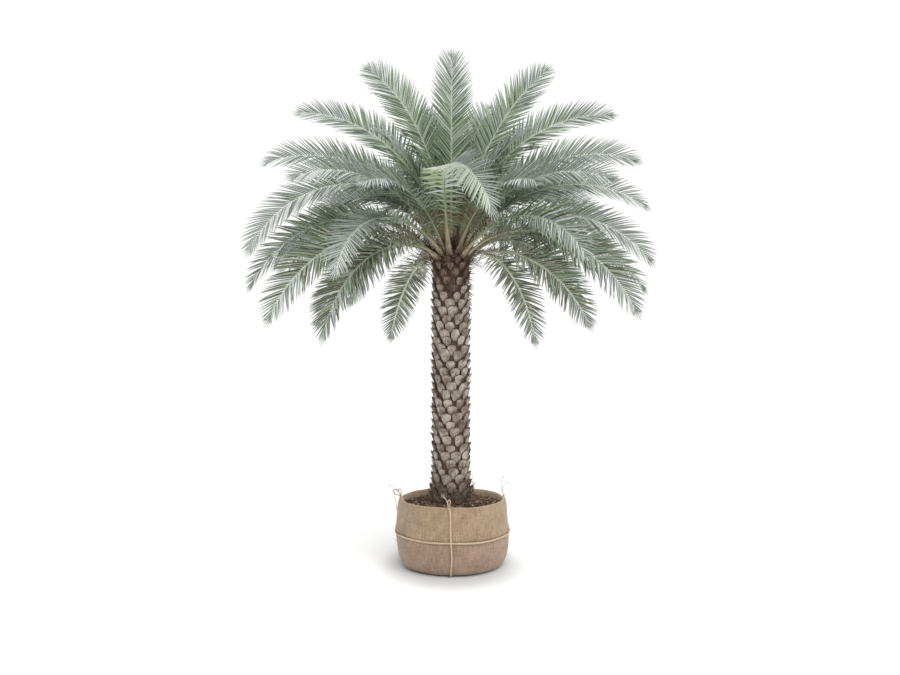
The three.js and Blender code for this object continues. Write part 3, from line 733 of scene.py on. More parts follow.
def deal_tints(frond, place, hand):
    """A finish for each leaflet of a row: green near the stalk, silver outside, olive on old fronds, with
    painted shade and light in its tone.
    """
    age = (frond["number"] - 1) / (len(FRONDS) - 1)
    tone = TONE_RISE * place - TONE_DROP + GROWN_TONE * smoothstep(age, *GROWN_SPAN)
    # painted shade on the oldest, lowest fronds, which also leads their green towards olive
    tone = tone - AGED_SHADE_TONE * smoothstep(age, AGED, 1)
    # painted light and shade: the two rows of a rolled frond differ in tone
    tone = tone - UPPER_TONE * hand * math.sin(frond["roll"]) * smoothstep(age, *UPPER_SPAN)
    tone = tone + BROAD_TONE * (frond["azimuth"] == BROAD) * smoothstep(place, *BROAD_SPAN)
    tints = TINTS_OUTWARDS[np.searchsorted(TINT_ENDS, tone + rng.normal(0, TONE_SPREAD, len(place)))]
    faded = rng.random(len(place)) < FADED * smoothstep(age, AGED, 1)
    tints = np.where(faded & ((tints == GREEN) | (tints == SAGE)), OLIVE, tints)
    if frond["azimuth"] == FAN:
        # painted light: past its young green patch the fan's left row is painted pale
        opened = np.where(place < FAN_YOUNG_END, YOUNG, PALE) if hand < 0 else ASH
        tints = np.where(place > FAN_START, opened, tints)
    return np.where(rng.random(len(place)) < DRY_SHARE * smoothstep(-place, *DRY_SPAN), DRY, tints)


def blades_with_swapped_shade(frond, place, hand):
    """Picks blades that show their dark half, the painted shade moved to the other half: most in lower rows,
    some on young and old fronds.
    """
    if frond["azimuth"] in (FAN, BROAD):
        return np.zeros(len(place), bool)
    lower = hand * frond["roll"] < 0
    share = TURNED if lower else TURNED_ABOVE * max(youth_of(frond), wear_of(frond))
    return rng.random(len(place)) < share


# %% Gather the leaflets
FRONDS_PER_PIECE = 15


def add_blades(heap, leaflets, tints, hand, turned=False):
    """Adds a row of blades, each with a pale foot, a bright half and a half in painted shade."""
    points, faces, uv = blade_mesh(**leaflets)
    rows = len(BLADE_PLACES) - 1
    row_of_face = np.tile(np.repeat(np.arange(rows), 2), 2)
    painted_shade_half = np.repeat([-1, 1], rows * 2) != hand
    # painted shade: the dark twin of each tint goes on the half that faces the stalk, or on the other half of
    # a turned blade
    kinds = tints[:, None] + TINTS * (painted_shade_half[None] ^ np.reshape(turned, (-1, 1)))
    kinds = np.where(row_of_face[None] < FOOT_ROWS, FOOT_KIND, kinds)
    heap.add(points, faces, kinds.ravel(), uv)


def add_spines(heap, spines):
    points, faces, uv = blade_mesh(**spines)
    heap.add(points, faces, SPINE_KIND, uv)


leaflet_count = 0
for first in range(0, len(FRONDS), FRONDS_PER_PIECE):
    heap = Heap()
    numbers = range(first, min(first + FRONDS_PER_PIECE, len(FRONDS)))
    for number in numbers:
        frond, ribs = FRONDS[number], RIBS[number]
        for hand in (1, -1):
            row = leaflet_row(frond, ribs, hand)
            fit_lengths(row, number)
            place = row.pop("place")
            add_blades(heap, row, deal_tints(frond, place, hand), hand, blades_with_swapped_shade(frond, place, hand))
            add_spines(heap, spine_row(frond, ribs, hand))
            leaflet_count += len(place)
        add_blades(heap, tip_leaflets(ribs), np.full(len(TIP_FAN), ASH), 1)
    fronds = tuple(f"frond_{number + 1:02d}" for number in numbers)
    nodes = [name for name in FROND_NODES if name.startswith(fronds)]
    make_piece(f"leaflets_{first // FRONDS_PER_PIECE + 1}", heap, LEAF_FINISHES, nodes)
print(leaflet_count, "leaflets")

# %% [markdown]
# ## The trunk
# The trunk wears the cut feet of old fronds, called boots. Each is a hard, pale, weathered scale
# that stands out at its top, and dark fibre shows between them. A bump map could hint at that,
# but the boots give the trunk its toothed outline, so each is a small closed mesh.

# %% Finishes of the trunk
BOOT_STREAK_MM = 9  # weathered grain, drawn coarse enough to show from eight metres
BOOT_STAIN_MM = 90
FIBRE_MM = 7  # a tuft of fibre; single strands are too fine to show


def boot_finish(name, pale, dark):
    """Weathered leaf base: silvery fibres run up it, with brown stain and painted shade between them."""
    material, tree, shader = new_finish(name, pale, 0.9)
    place = add_node(tree, "TexCoord").outputs["Object"]
    upright = add_node(tree, "Mapping", {"Vector": place, "Scale": (1, 1, 0.12)}).outputs["Vector"]
    streaks = {"Vector": upright, "Scale": per_metre(BOOT_STREAK_MM), "Detail": 5.0, "Roughness": 0.65}
    grain = add_node(tree, "TexNoise", streaks).outputs["Fac"]
    stain = add_node(tree, "TexNoise", {"Vector": place, "Scale": per_metre(BOOT_STAIN_MM), "Detail": 3.0})
    both = add_node(tree, "Math", {0: grain, 1: stain.outputs["Fac"]}, operation="MULTIPLY")
    both = both.outputs["Value"]
    # the grain also raises the face, so the dark between its fibres is partly painted shade, and the stain is
    # the boot's own
    lay_pattern(tree, shader, both, (0.17, 0.33), dark, pale, height=grain, strength=0.8, distance=0.005)
    return material


def fibre_finish(name, pale, dark):
    """Matted leaf-sheath fibre: dull, with strands that run upwards, and painted shade nearly black in its
    gaps.
    """
    material, tree, shader = new_finish(name, pale, 1.0)
    place = add_node(tree, "TexCoord").outputs["Object"]
    upright = add_node(tree, "Mapping", {"Vector": place, "Scale": (1, 1, 0.2)}).outputs["Vector"]
    mat = add_node(tree, "TexNoise", {"Vector": upright, "Scale": per_metre(FIBRE_MM), "Detail": 6.0})
    mat = mat.outputs["Fac"]
    lay_pattern(tree, shader, mat, (0.35, 0.68), dark, pale, height=mat, strength=0.9, distance=0.006)
    return material


BOOT_FINISHES = [
    boot_finish("weathered boot", "#aaa096", "#6a5d52"),
    fibre_finish("boot edge", "#6c5b50", "#43332a"),
    boot_finish("young boot", "#816e63", "#3b2a21"),
    boot_finish("oldest boot", "#74675b", "#30251d"),
    boot_finish("brown boot", "#988b81", "#51433a"),
]
BOOT, BOOT_EDGE, YOUNG_BOOT, OLD_BOOT, BROWN_BOOT = range(len(BOOT_FINISHES))
TRUNK_FIBRE = fibre_finish("trunk fibre", "#705a4a", "#402f24")
print(len(BOOT_FINISHES), "finishes of boots")

# %% The trunk's dark core
TRUNK_RADIUS = 0.150
TRUNK_FLARE, FLARE_HEIGHT = 0.010, 0.40  # extra radius at the foot, and the height over which it fades
CORE_RINGS, CORE_SIDES = 120, 72
CORE_SINK, CORE_RISE = 0.03, 0.02  # the core goes into the soil below and into the bud above
CORE_ROUGHNESS = 0.0025


def trunk_radius(z):
    return TRUNK_RADIUS + TRUNK_FLARE * np.exp(-2 * (z - TRUNK_FOOT) / FLARE_HEIGHT)


def round_stem(radius, angle, z):
    """Points round the stem's axis."""
    return STEM + np.stack(np.broadcast_arrays(radius * np.cos(angle), radius * np.sin(angle), z), -1)


core = Heap()
z = np.linspace(TRUNK_FOOT - CORE_SINK, TRUNK_TOP + CORE_RISE, CORE_RINGS)[:, None]
angle = ring_turns(CORE_SIDES)[None]
ragged = rng.normal(0, CORE_ROUGHNESS, (CORE_RINGS, CORE_SIDES))
core.add(round_stem(trunk_radius(z) + ragged, angle, z), tube_faces(CORE_RINGS, CORE_SIDES))
make_piece("trunk_core", core, [TRUNK_FIBRE], ["trunk"])

# %% [markdown]
# ## The boots
# A boot could be one mesh with copies turned round the trunk, but no two real ones are alike. So
# each is a stack of rings, a rounded square at heart, with its own size, lean and chipped rim. It
# swells like a pillow, stands out at its upper edge, and ends in a neck that is sunk in the core.

# %% One boot
BOOT_WIDTH, BOOT_HEIGHT = 0.092, 0.112
BOOT_CORNERS = 18
SQUARENESS = 3.0  # 2 gives an oval, more a rounded square
BOOT_TURN_SPREAD, RIM_SPREAD, FACE_SPREAD = 0.08, 0.035, 0.0011
FOOT_NARROWING = 0.80  # its lower edge as a share of its upper one
POINT_NARROWING, POINT_RISE = 0.75, 0.35  # what wear to a point takes off the top and adds to it
FACE_RINGS = np.array([0.14, 0.45, 0.72, 0.9, 1.0])  # shares of the way from its middle to its rim
NECK_RING, NECK_DEPTH = 0.9, 0.012  # the last ring, and how deep it is sunk in the core
BOOT_FOOT, BOOT_SLOPE = 0.006, 1.2  # how far its face stands out below, and how that grows upwards
HIGHEST_RISE = 1.1
PILLOW, RIM_DROP = 0.007, 0.006  # how far its middle swells and its rim falls back


def boot_points(angle, z, size, lip, point):
    """Rings of points on one boot: its pillow face, its rim, and the neck sunk in the core."""
    turn = ring_turns(BOOT_CORNERS) + rng.normal(0, BOOT_TURN_SPREAD)
    reach = (np.abs(np.cos(turn)) ** SQUARENESS + np.abs(np.sin(turn)) ** SQUARENESS) ** (-1 / SQUARENESS)
    reach = reach * rng.normal(1, RIM_SPREAD, BOOT_CORNERS)
    up = reach * np.sin(turn)
    top = np.clip(up, 0, 1)
    narrowing = mix(FOOT_NARROWING, 1.0, (up + 1) / 2)
    across = reach * np.cos(turn) * narrowing * (1 - POINT_NARROWING * point * top**1.5)
    up = up + POINT_RISE * point * top**2
    share = np.concatenate([FACE_RINGS, [NECK_RING]])[:, None]
    rise = np.clip((up * share + 1) / 2, 0, HIGHEST_RISE)
    stand = mix(BOOT_FOOT, lip, rise**BOOT_SLOPE) + PILLOW * (1 - share**2) - RIM_DROP * (share == 1)
    stand = stand + rng.normal(0, FACE_SPREAD, stand.shape)
    stand[-1] = -NECK_DEPTH
    height = z + up * share * BOOT_HEIGHT / 2 * size
    turned = angle + across * share * BOOT_WIDTH / 2 * size / trunk_radius(z)
    return round_stem(trunk_radius(z) + stand, turned, height)


# %% A boot's finish and its splinters
SHADE_SPREAD, YOUNG_ABOVE, BROWN_ABOVE = 0.15, 0.6, 0.2  # the shades where two finishes begin
OLD_SHARE = 1.3  # how likely the oldest finish is at the trunk's very foot
SPIKE_SPREAD = 0.11  # radians round the trunk
SPIKE_PLACES, SPIKE_SINK = (0.36, 0.46), 0.008  # shares of the boot's height, and depth in its lip
SPIKE_LEANS = (0.25, 0.8)
SPIKE_LENGTHS, FOOT_SPIKE_GROWTH = (0.016, 0.03), 0.045
SPIKE_RADII = np.array([0.006, 0.0035, 0.0005])
SPIKE_MIDDLE, SPIKE_SIDES = 0.55, 4


def face_finish(young, old):
    """The finish of a boot's face: browner near the crown and darker at the trunk's foot."""
    shade = young + rng.normal(0, SHADE_SPREAD)
    kind = OLD_BOOT if rng.random() < OLD_SHARE * old else BOOT
    if shade > BROWN_ABOVE:
        kind = YOUNG_BOOT if shade > YOUNG_ABOVE else BROWN_BOOT
    return kind


def add_spike(heap, angle, z, size, lip, old):
    """One splinter on a boot's upper edge."""
    turn = angle + rng.normal(0, SPIKE_SPREAD)
    height = z + BOOT_HEIGHT * size * rng.uniform(*SPIKE_PLACES)
    start = round_stem(trunk_radius(z) + lip - SPIKE_SINK, turn, height)
    way = outwards(turn) * rng.uniform(*SPIKE_LEANS) + [0, 0, 1.0]
    tip = start + way * rng.uniform(SPIKE_LENGTHS[0], SPIKE_LENGTHS[1] + FOOT_SPIKE_GROWTH * old)
    points, faces = tube(np.stack([start, mix(start, tip, SPIKE_MIDDLE), tip]), SPIKE_RADII, SPIKE_SIDES)
    heap.add(points, faces, BOOT_EDGE)


# %% Cover the trunk with boots
BOOTS_ROUND, BOOT_ROWS = 9, 32
BOOT_PITCH = 2 * np.pi / BOOTS_ROUND
ROW_TWIST = math.radians(4.8)
ROW_HEIGHT = (TRUNK_TOP - TRUNK_FOOT) / BOOT_ROWS
FIRST_ROW = 0.02  # above the trunk's foot
ANGLE_SPREAD, HEIGHT_SPREAD, SIZE_SPREAD = 0.04, 0.007, 0.07
YOUNG_ZONE, YOUNG_LOSS = 0.50, 0.3  # below the crown the boots are smaller, dark and half hidden
FOOT_ZONE, FOOT_GROWTH = 0.26, 0.05  # above the soil the oldest ones are worn to splinters
BOOT_LIP, FOOT_LIP = 0.043, 0.016  # how far a boot stands out above, and what the oldest ones add
LIP_SPREAD = (0.8, 1.2)
SPLIT_BOOTS, SPLIT_POINT, POINT_SPREAD = 0.25, 0.45, (0.7, 1)  # some boots have worn to a point
SPIKES, FOOT_SPIKES = 2, 1  # splinters left on a boot's upper edge, and what the oldest ones add
boot_rings = len(FACE_RINGS) + 1
boot_faces = tube_faces(boot_rings, BOOT_CORNERS)
# the rim and the face that turns back into the core take the dark fibre finish: partly the boot's own dark
# inner face and fibre, partly painted shade round its rim
wall_kinds = np.repeat([BOOT, BOOT, BOOT, BOOT_EDGE, BOOT_EDGE], 2 * BOOT_CORNERS)
boot_kinds = np.concatenate([wall_kinds, np.repeat([BOOT, BOOT_EDGE], BOOT_CORNERS - 2)])

boots = Heap()
for row in range(BOOT_ROWS + 1):
    for column in range(BOOTS_ROUND):
        angle = (column + 0.5) * BOOT_PITCH + row * (BOOT_PITCH / 2 + ROW_TWIST) + rng.normal(0, ANGLE_SPREAD)
        z = TRUNK_FOOT + FIRST_ROW + row * ROW_HEIGHT + rng.normal(0, HEIGHT_SPREAD)
        young = smoothstep(z, TRUNK_TOP - YOUNG_ZONE, TRUNK_TOP)
        old = smoothstep(z, TRUNK_FOOT + FOOT_ZONE, TRUNK_FOOT)
        lip = (BOOT_LIP + FOOT_LIP * old) * rng.uniform(*LIP_SPREAD)
        size = rng.normal(1, SIZE_SPREAD) * (1 - YOUNG_LOSS * young + FOOT_GROWTH * old)
        point = max(old, SPLIT_POINT * (rng.random() < SPLIT_BOOTS)) * rng.uniform(*POINT_SPREAD)
        kinds = np.where(boot_kinds == BOOT, face_finish(young, old), boot_kinds)
        boots.add(boot_points(angle, z, size, lip, point), boot_faces, kinds)
        for _ in range(SPIKES + round(FOOT_SPIKES * old)):
            add_spike(boots, angle, z, size, lip, old)
make_piece("trunk_boots", boots, BOOT_FINISHES, ["trunk"])

# %% [markdown]
# ## Fibre
# Palm fibre is what is left of the leaf sheaths: long brown strands, matted between the boots,
# thick round the bud, and mixed with fine roots at the trunk's foot. Each strand here is a thin
# three-sided tube, because even a few hundred real strands break up an outline that a bump map
# would leave clean.

# %% Finishes of the fibre
STRAND_MM = 4  # unevenness along a strand


def strand_finish(name, colour):
    """A dry fibre: dull and plain, too thin to show a pattern, with a slightly uneven surface."""
    material, tree, shader = new_finish(name, colour, 0.85)
    place = add_node(tree, "TexCoord").outputs["Object"]
    rough = add_node(tree, "TexNoise", {"Vector": place, "Scale": per_metre(STRAND_MM)})
    height = rough.outputs["Fac"]
    bump = add_node(tree, "Bump", {"Height": height, "Strength": 0.3, "Distance": 0.0005})
    tree.links.new(bump.outputs["Normal"], shader.inputs["Normal"])
    return material


STRAND_FINISHES = [
    strand_finish("dark palm fibre", "#33241a"),
    strand_finish("brown palm fibre", "#5a4130"),
    strand_finish("red palm fibre", "#6d4a35"),
    strand_finish("bleached palm fibre", "#a08a70"),
]
STRAND_KINDS = len(STRAND_FINISHES)
print(STRAND_KINDS, "finishes of fibre")

# %% One strand
STRAND_STEPS, STRAND_SIDES = 6, 3
STRAND_RADIUS, STRAND_TIP = 0.0016, 0.35  # at its start, and the share of that at its end
WANDER_SHARE = 0.6


def add_strand(heap, start, direction, length, radius, kind, wander, sag=0.0):
    """A strand that sets out in one direction, wanders and sags."""
    direction = unit(np.asarray(direction, float))
    path = [np.asarray(start, float)]
    for _ in range(STRAND_STEPS):
        direction = unit(direction + rng.normal(0, wander, 3) * WANDER_SHARE + [0, 0, -sag])
        path.append(path[-1] + direction * length / STRAND_STEPS)
    points, faces = tube(path, radius * np.linspace(1, STRAND_TIP, STRAND_STEPS + 1), STRAND_SIDES)
    heap.add(points, faces, kind)


# %% Strands between the boots and under the crown
THICK_STRAND = STRAND_RADIUS * 1.2
TRUNK_STRANDS, TRUNK_STRAND_LENGTHS = 900, (0.03, 0.09)
TRUNK_STRAND_OUT = 0.012  # they start up to this far outside the core
SLANT = 0.6  # how far a strand between the boots strays from upright
UNBLEACHED = 3  # the finishes without the last one
CROWN_STRANDS, CROWN_STRAND_LENGTHS = 650, (0.04, 0.10)
CROWN_STRAND_DROP, CROWN_STRAND_OUT = 0.09, 0.02  # below the crown on average, outside the core at most
CROWN_STRAND_LEAN, CROWN_STRAND_RISE = 0.35, (0.4, 1)  # up or down, and outwards a little
CROWN_MIX = [0.4, 0.3, 0.25, 0.05]  # shares of the four finishes

trunk_strands = Heap()
for _ in range(TRUNK_STRANDS):
    z, angle = rng.uniform(TRUNK_FOOT, TRUNK_TOP), rng.uniform(0, 2 * np.pi)
    start = round_stem(trunk_radius(z) + rng.uniform(0, TRUNK_STRAND_OUT), angle, z)
    slant = [-math.sin(angle) * rng.normal(0, SLANT), math.cos(angle) * rng.normal(0, SLANT)]
    way = [*slant, rng.choice([-1, 1])]
    add_strand(trunk_strands, start, way, rng.uniform(*TRUNK_STRAND_LENGTHS), STRAND_RADIUS,
               rng.choice(UNBLEACHED), wander=0.2)
for _ in range(CROWN_STRANDS):
    z, angle = TRUNK_TOP - rng.exponential(CROWN_STRAND_DROP), rng.uniform(0, 2 * np.pi)
    start = round_stem(trunk_radius(z) + rng.uniform(0, CROWN_STRAND_OUT), angle, z)
    lean = outwards(angle) * rng.uniform(0, CROWN_STRAND_LEAN)
    way = lean + [0, 0, rng.choice([-1, 1]) * rng.uniform(*CROWN_STRAND_RISE)]
    add_strand(trunk_strands, start, way, rng.uniform(*CROWN_STRAND_LENGTHS), THICK_STRAND,
               rng.choice(STRAND_KINDS, p=CROWN_MIX), wander=0.25, sag=0.1)
print(TRUNK_STRANDS + CROWN_STRANDS, "strands on the trunk")

# %% Roots and straws at the trunk's foot
FOOT_STRANDS, FOOT_STRAND_LENGTHS = 700, (0.04, 0.13)
FOOT_STRAND_RISE, HIGHEST_FOOT_STRAND = 0.10, 0.4  # they start this far up on average, and at most
LOWEST_FOOT_STRAND, FOOT_STRAND_OUT = 0.01, 0.035
FOOT_STRAND_SLOPE, FOOT_STRAND_DIP = (-1.4, 1.2), 0.03  # how steep, and how far into the soil at most
FOOT_MIX = [0.28, 0.26, 0.1, 0.36]
SOIL_STRANDS, SOIL_STRAND_LENGTHS = 420, (0.05, 0.13)  # loose straws that lie on the soil
SOIL_STRAND_OUT, FURTHEST_SOIL_STRAND = 0.05, 0.16  # from the trunk on average, and at most
SOIL_STRAND_LIFT, SOIL_STRAND_SLOPE = (0.004, 0.03), (-0.1, 0.35)
SOIL_STRAND_TURN = 0.9  # radians that they stray from pointing outwards
SOIL_MIX = [0.32, 0.2, 0.08, 0.4]

for _ in range(FOOT_STRANDS):
    z = TRUNK_FOOT + LOWEST_FOOT_STRAND + min(rng.exponential(FOOT_STRAND_RISE), HIGHEST_FOOT_STRAND)
    angle = rng.uniform(0, 2 * np.pi)
    start = round_stem(trunk_radius(z) + rng.uniform(0.0, FOOT_STRAND_OUT), angle, z)
    way = outwards(angle, rng.uniform(*FOOT_STRAND_SLOPE))
    length = min(rng.uniform(*FOOT_STRAND_LENGTHS), (z - TRUNK_FOOT) + FOOT_STRAND_DIP)
    add_strand(trunk_strands, start, way, length, STRAND_RADIUS,
               rng.choice(STRAND_KINDS, p=FOOT_MIX), wander=0.3, sag=0.25)
for _ in range(SOIL_STRANDS):
    angle = rng.uniform(0, 2 * np.pi)
    radius = TRUNK_RADIUS + min(rng.exponential(SOIL_STRAND_OUT), FURTHEST_SOIL_STRAND)
    start = round_stem(radius, angle, TRUNK_FOOT + rng.uniform(*SOIL_STRAND_LIFT))
    way = outwards(angle + rng.normal(0, SOIL_STRAND_TURN), rng.uniform(*SOIL_STRAND_SLOPE))
    add_strand(trunk_strands, start, way, rng.uniform(*SOIL_STRAND_LENGTHS), THICK_STRAND,
               rng.choice(STRAND_KINDS, p=SOIL_MIX), wander=0.3, sag=0.03)
make_piece("trunk_strands", trunk_strands, STRAND_FINISHES, ["trunk"])

# %% The bud's fibre mass
HEART_RADIUS, HEART_HEIGHT = 0.130, 0.22
HEART_RINGS, HEART_SIDES = 22, 60
HEART_TOP = 0.98  # the dome stops short of its pole
HEART_BLUNTNESS = 0.8
TUFTS, TUFT_TWIST, TUFT_DEPTH, HEART_ROUGHNESS = 9, 3, 0.05, 0.02

heart = Heap()
up = np.linspace(0, 0.5 * np.pi * HEART_TOP, HEART_RINGS)[:, None]
angle = ring_turns(HEART_SIDES)[None]
tufts = 1 + TUFT_DEPTH * np.sin(TUFTS * angle + TUFT_TWIST * up)
ragged = tufts + rng.normal(0, HEART_ROUGHNESS, (HEART_RINGS, HEART_SIDES))
dome_radius = HEART_RADIUS * np.cos(up) ** HEART_BLUNTNESS * ragged
dome = round_stem(dome_radius, angle, TRUNK_TOP + HEART_HEIGHT * np.sin(up))
heart.add(dome, tube_faces(HEART_RINGS, HEART_SIDES))
BUD_FIBRE = fibre_finish("bud fibre", "#3c2a1c", "#120b07")
make_piece("heart_fibre", heart, [BUD_FIBRE], ["crown_heart"])

# %% Sheath shreds round the bud
HEART_STRANDS, HEART_STRAND_LENGTHS = 1100, (0.06, 0.26)
SHRED_SPACE, SHRED_DROP = 0.03, 0.03  # they start outside the dome and a little lower
SHRED_HEIGHT = 1.3  # radians up the dome, at most
SHRED_LEAN, SHRED_RISE, SHRED_RADIUS = 0.7, (0.1, 1.4), STRAND_RADIUS * 1.4
HEART_MIX = [0.35, 0.35, 0.25, 0.05]

heart_strands = Heap()
for _ in range(HEART_STRANDS):
    lift, angle = rng.uniform(0, SHRED_HEIGHT), rng.uniform(0, 2 * np.pi)
    height = TRUNK_TOP + HEART_HEIGHT * math.sin(lift) - SHRED_DROP
    start = round_stem((HEART_RADIUS + SHRED_SPACE) * math.cos(lift), angle, height)
    way = outwards(angle) * SHRED_LEAN + [0, 0, rng.uniform(*SHRED_RISE)]
    add_strand(heart_strands, start, way, rng.uniform(*HEART_STRAND_LENGTHS), SHRED_RADIUS,
               rng.choice(STRAND_KINDS, p=HEART_MIX), wander=0.4, sag=0.1)
make_piece("heart_strands", heart_strands, STRAND_FINISHES, ["crown_heart"])

# %% [markdown]
# ## The burlap
# The root ball sits in one piece of burlap drawn tight, with its edge folded in at the rim. The
# cloth is a turned profile with the real one's small lumps, the dents that the ropes press into
# it, and creases where it gathers under the foot. A cloth simulation would only return to that
# drawn shape, so the form is made in code and the weave by nodes.

# %% Finish of the burlap
SLUB_MM = 9  # thick places in the threads, which are 2 mm apart and too fine to show from eight metres
WARP_STRETCH, WEFT_STRETCH = (1, 0.09, 1), (0.16, 1, 1)  # slubs run up the cloth and across it
RIPPLE_MM = 56.55  # slack threads ripple the cloth
PATCH_MM = 130  # worn and stained patches
WEFT_WEIGHT, PATCH_WEIGHT = 0.85, 0.9
WEAVE_SPAN = (1.03, 1.72)  # the pattern's values from the darkest to the palest
BLUSH = (0.22, 0.42)  # heights between which the cloth turns from a pinkish to a yellowish tan


def burlap_finish(name, pinkish, yellowish):
    """Plain-woven jute: dull, hairy, tan, with uneven threads that show most up and down."""
    material, tree, shader = new_finish(name, yellowish[1], 0.95, Sheen_Weight=0.15, Sheen_Roughness=0.6)
    cloth = add_node(tree, "UVMap", uv_map="UVMap").outputs["UV"]
    slubs = []
    for stretch in (WARP_STRETCH, WEFT_STRETCH):
        way = add_node(tree, "Mapping", {"Vector": cloth, "Scale": stretch}).outputs["Vector"]
        slub = add_node(tree, "TexNoise", {"Vector": way, "Scale": per_metre(SLUB_MM), "Detail": 5.0})
        slubs.append(slub.outputs["Fac"])
    ripples = []
    for way in ("X", "Y"):
        ripple = {"Vector": cloth, "Scale": waves_per_metre(RIPPLE_MM), "Distortion": 1.5, "Detail": 2.0}
        ripples.append(add_node(tree, "TexWave", ripple, bands_direction=way).outputs["Fac"])
    patches = {"Vector": cloth, "Scale": per_metre(PATCH_MM), "Detail": 6.0, "Roughness": 0.6}
    patch = add_node(tree, "TexNoise", patches).outputs["Fac"]
    weave = add_node(tree, "Math", {0: slubs[1], 1: WEFT_WEIGHT, 2: slubs[0]}, operation="MULTIPLY_ADD")
    weave = weave.outputs["Value"]
    worn = add_node(tree, "Math", {0: patch, 1: PATCH_WEIGHT, 2: weave}, operation="MULTIPLY_ADD")
    worn = {"Value": worn.outputs["Value"], "From Min": WEAVE_SPAN[0], "From Max": WEAVE_SPAN[1]}
    share = add_node(tree, "MapRange", worn).outputs["Result"]
    tans = []
    for dark, pale in (pinkish, yellowish):
        tones = {"Factor": share, MIX_A: linear(dark), MIX_B: linear(pale)}
        tans.append(add_node(tree, "Mix", tones, data_type="RGBA").outputs[MIX_COLOUR])
    place = add_node(tree, "SeparateXYZ", {"Vector": add_node(tree, "TexCoord").outputs["Object"]})
    height = {"Value": place.outputs["Z"], "From Min": BLUSH[0], "From Max": BLUSH[1]}
    blush = {"Factor": add_node(tree, "MapRange", height).outputs["Result"], MIX_A: tans[0], MIX_B: tans[1]}
    colour = add_node(tree, "Mix", blush, data_type="RGBA")
    tree.links.new(colour.outputs[MIX_COLOUR], shader.inputs["Base Color"])
    raised = add_node(tree, "Math", {0: ripples[0], 1: ripples[1]}, operation="MAXIMUM")
    relief = add_node(tree, "Math", {0: raised.outputs["Value"], 1: weave}, operation="ADD")
    bump = add_node(tree, "Bump", {"Height": relief.outputs["Value"], "Strength": 0.5, "Distance": 0.003})
    tree.links.new(bump.outputs["Normal"], shader.inputs["Normal"])
    return material


BURLAP = burlap_finish("jute burlap", ("#735c4b", "#a08773"), ("#766049", "#a48d73"))
HEM = burlap_finish("burlap hem", ("#9a8670", "#c0ad94"), ("#9a8670", "#c0ad94"))
print("finishes", BURLAP.name, "and", HEM.name)

# %% The ball's profile
BALL_PROFILE = np.array([
    (0.430, 0.000), (0.496, 0.026), (0.528, 0.100), (0.543, 0.195), (0.546, 0.300),
    (0.538, 0.430), (0.526, 0.562), (0.511, 0.614), (0.500, 0.632),
])
UNDERSIDE = np.array([(0.0, 0.004), (0.20, 0.003), (0.38, 0.001)])
TURNED_IN = np.array([(0.492, 0.634), (0.485, 0.630), (0.480, 0.618), (0.478, 0.590), (0.476, 0.562)])
WALL_POINTS = 120


def spline(points, count):
    """A smooth line through points, evenly spread over their spans."""
    ends = np.concatenate([[2 * points[0] - points[1]], points, [2 * points[-1] - points[-2]]])
    place = np.linspace(0, len(points) - 1, count)
    i = np.minimum(place.astype(int), len(points) - 2)
    t = (place - i)[:, None]
    a, b, c, d = ends[i], ends[i + 1], ends[i + 2], ends[i + 3]
    return 0.5 * (2 * b + (c - a) * t + (2 * a - 5 * b + 4 * c - d) * t**2 + (3 * b - a - 3 * c + d) * t**3)


WALL = spline(BALL_PROFILE, WALL_POINTS)
cloth_profile = np.concatenate([UNDERSIDE, WALL, TURNED_IN])
cloth_lengths = np.concatenate([[0], np.cumsum(np.linalg.norm(np.diff(cloth_profile, axis=0), axis=1))])
print("the cloth runs", round(cloth_lengths[-1], 3), "m from the middle of the underside to its edge")

# %% Where the ropes press
BELT_HEIGHT = 0.320
UPRIGHT_AZIMUTHS = np.radians([10, 90, 170, 270])
UPRIGHT_LEANS = np.radians([2, -3, 2, -4.4])  # how far each has slipped sideways at the rim
BALL_RADIUS = 0.54  # a typical one, to turn metres round the wall to radians
SLACK, FINE_SLACK = 0.010, 0.004  # metres that an upright strays from its line
BELT_DENT, BELT_DENT_WIDTH = 0.007, 0.016
BELT_BULGE, BELT_BULGE_WIDTH, BELT_BULGE_RISE = 0.004, 0.025, 0.035  # the cloth swells above the belt
UPRIGHT_DENT, UPRIGHT_DENT_WIDTH = 0.005, 0.016


def upright_azimuth(azimuth, lean, share):
    """Where an upright rope lies at a share of the wall's profile: slanted, and not quite straight."""
    stray = SLACK * np.sin(5 * share + azimuth) + FINE_SLACK * np.sin(13 * share + 2 * azimuth)
    return azimuth + lean * share + stray / BALL_RADIUS


def bell(offset, width):
    """1 at no offset, fading to nothing over about twice the width."""
    return np.exp(-((offset / width) ** 2))


def rope_dents(angle, height, wall_share):
    """How the ropes press the cloth in, and how it swells above the belt."""
    above = height - BELT_HEIGHT
    belt = -BELT_DENT * bell(above, BELT_DENT_WIDTH)
    belt = belt + BELT_BULGE * bell(above - BELT_BULGE_RISE, BELT_BULGE_WIDTH)
    uprights = np.zeros_like(angle)
    for azimuth, lean in zip(UPRIGHT_AZIMUTHS, UPRIGHT_LEANS):
        turn = angle - upright_azimuth(azimuth, lean, wall_share)
        off = np.abs((turn + np.pi) % (2 * np.pi) - np.pi) * BALL_RADIUS
        uprights = uprights - UPRIGHT_DENT * bell(off, UPRIGHT_DENT_WIDTH)
    return belt, uprights


# %% The cloth
CLOTH_SIDES = 288
LUMP_HEIGHT, LUMP_WAVES, LUMP_TURN = 0.0055, 9, 1.5
CREASES, CREASE_DEPTH, CREASE_REACH = 46, 0.0028, 0.055  # gathers under the foot
RIM_WAVE, RIM_SPAN = 0.004, (0.54, 0.63)
FOOT_SPAN, UNDERSIDE_RADIUS = (0.0, 0.05), 0.4  # the underside stays flat
HEM_LUMPS = 0.4  # the part that is turned in follows the lumps by this share

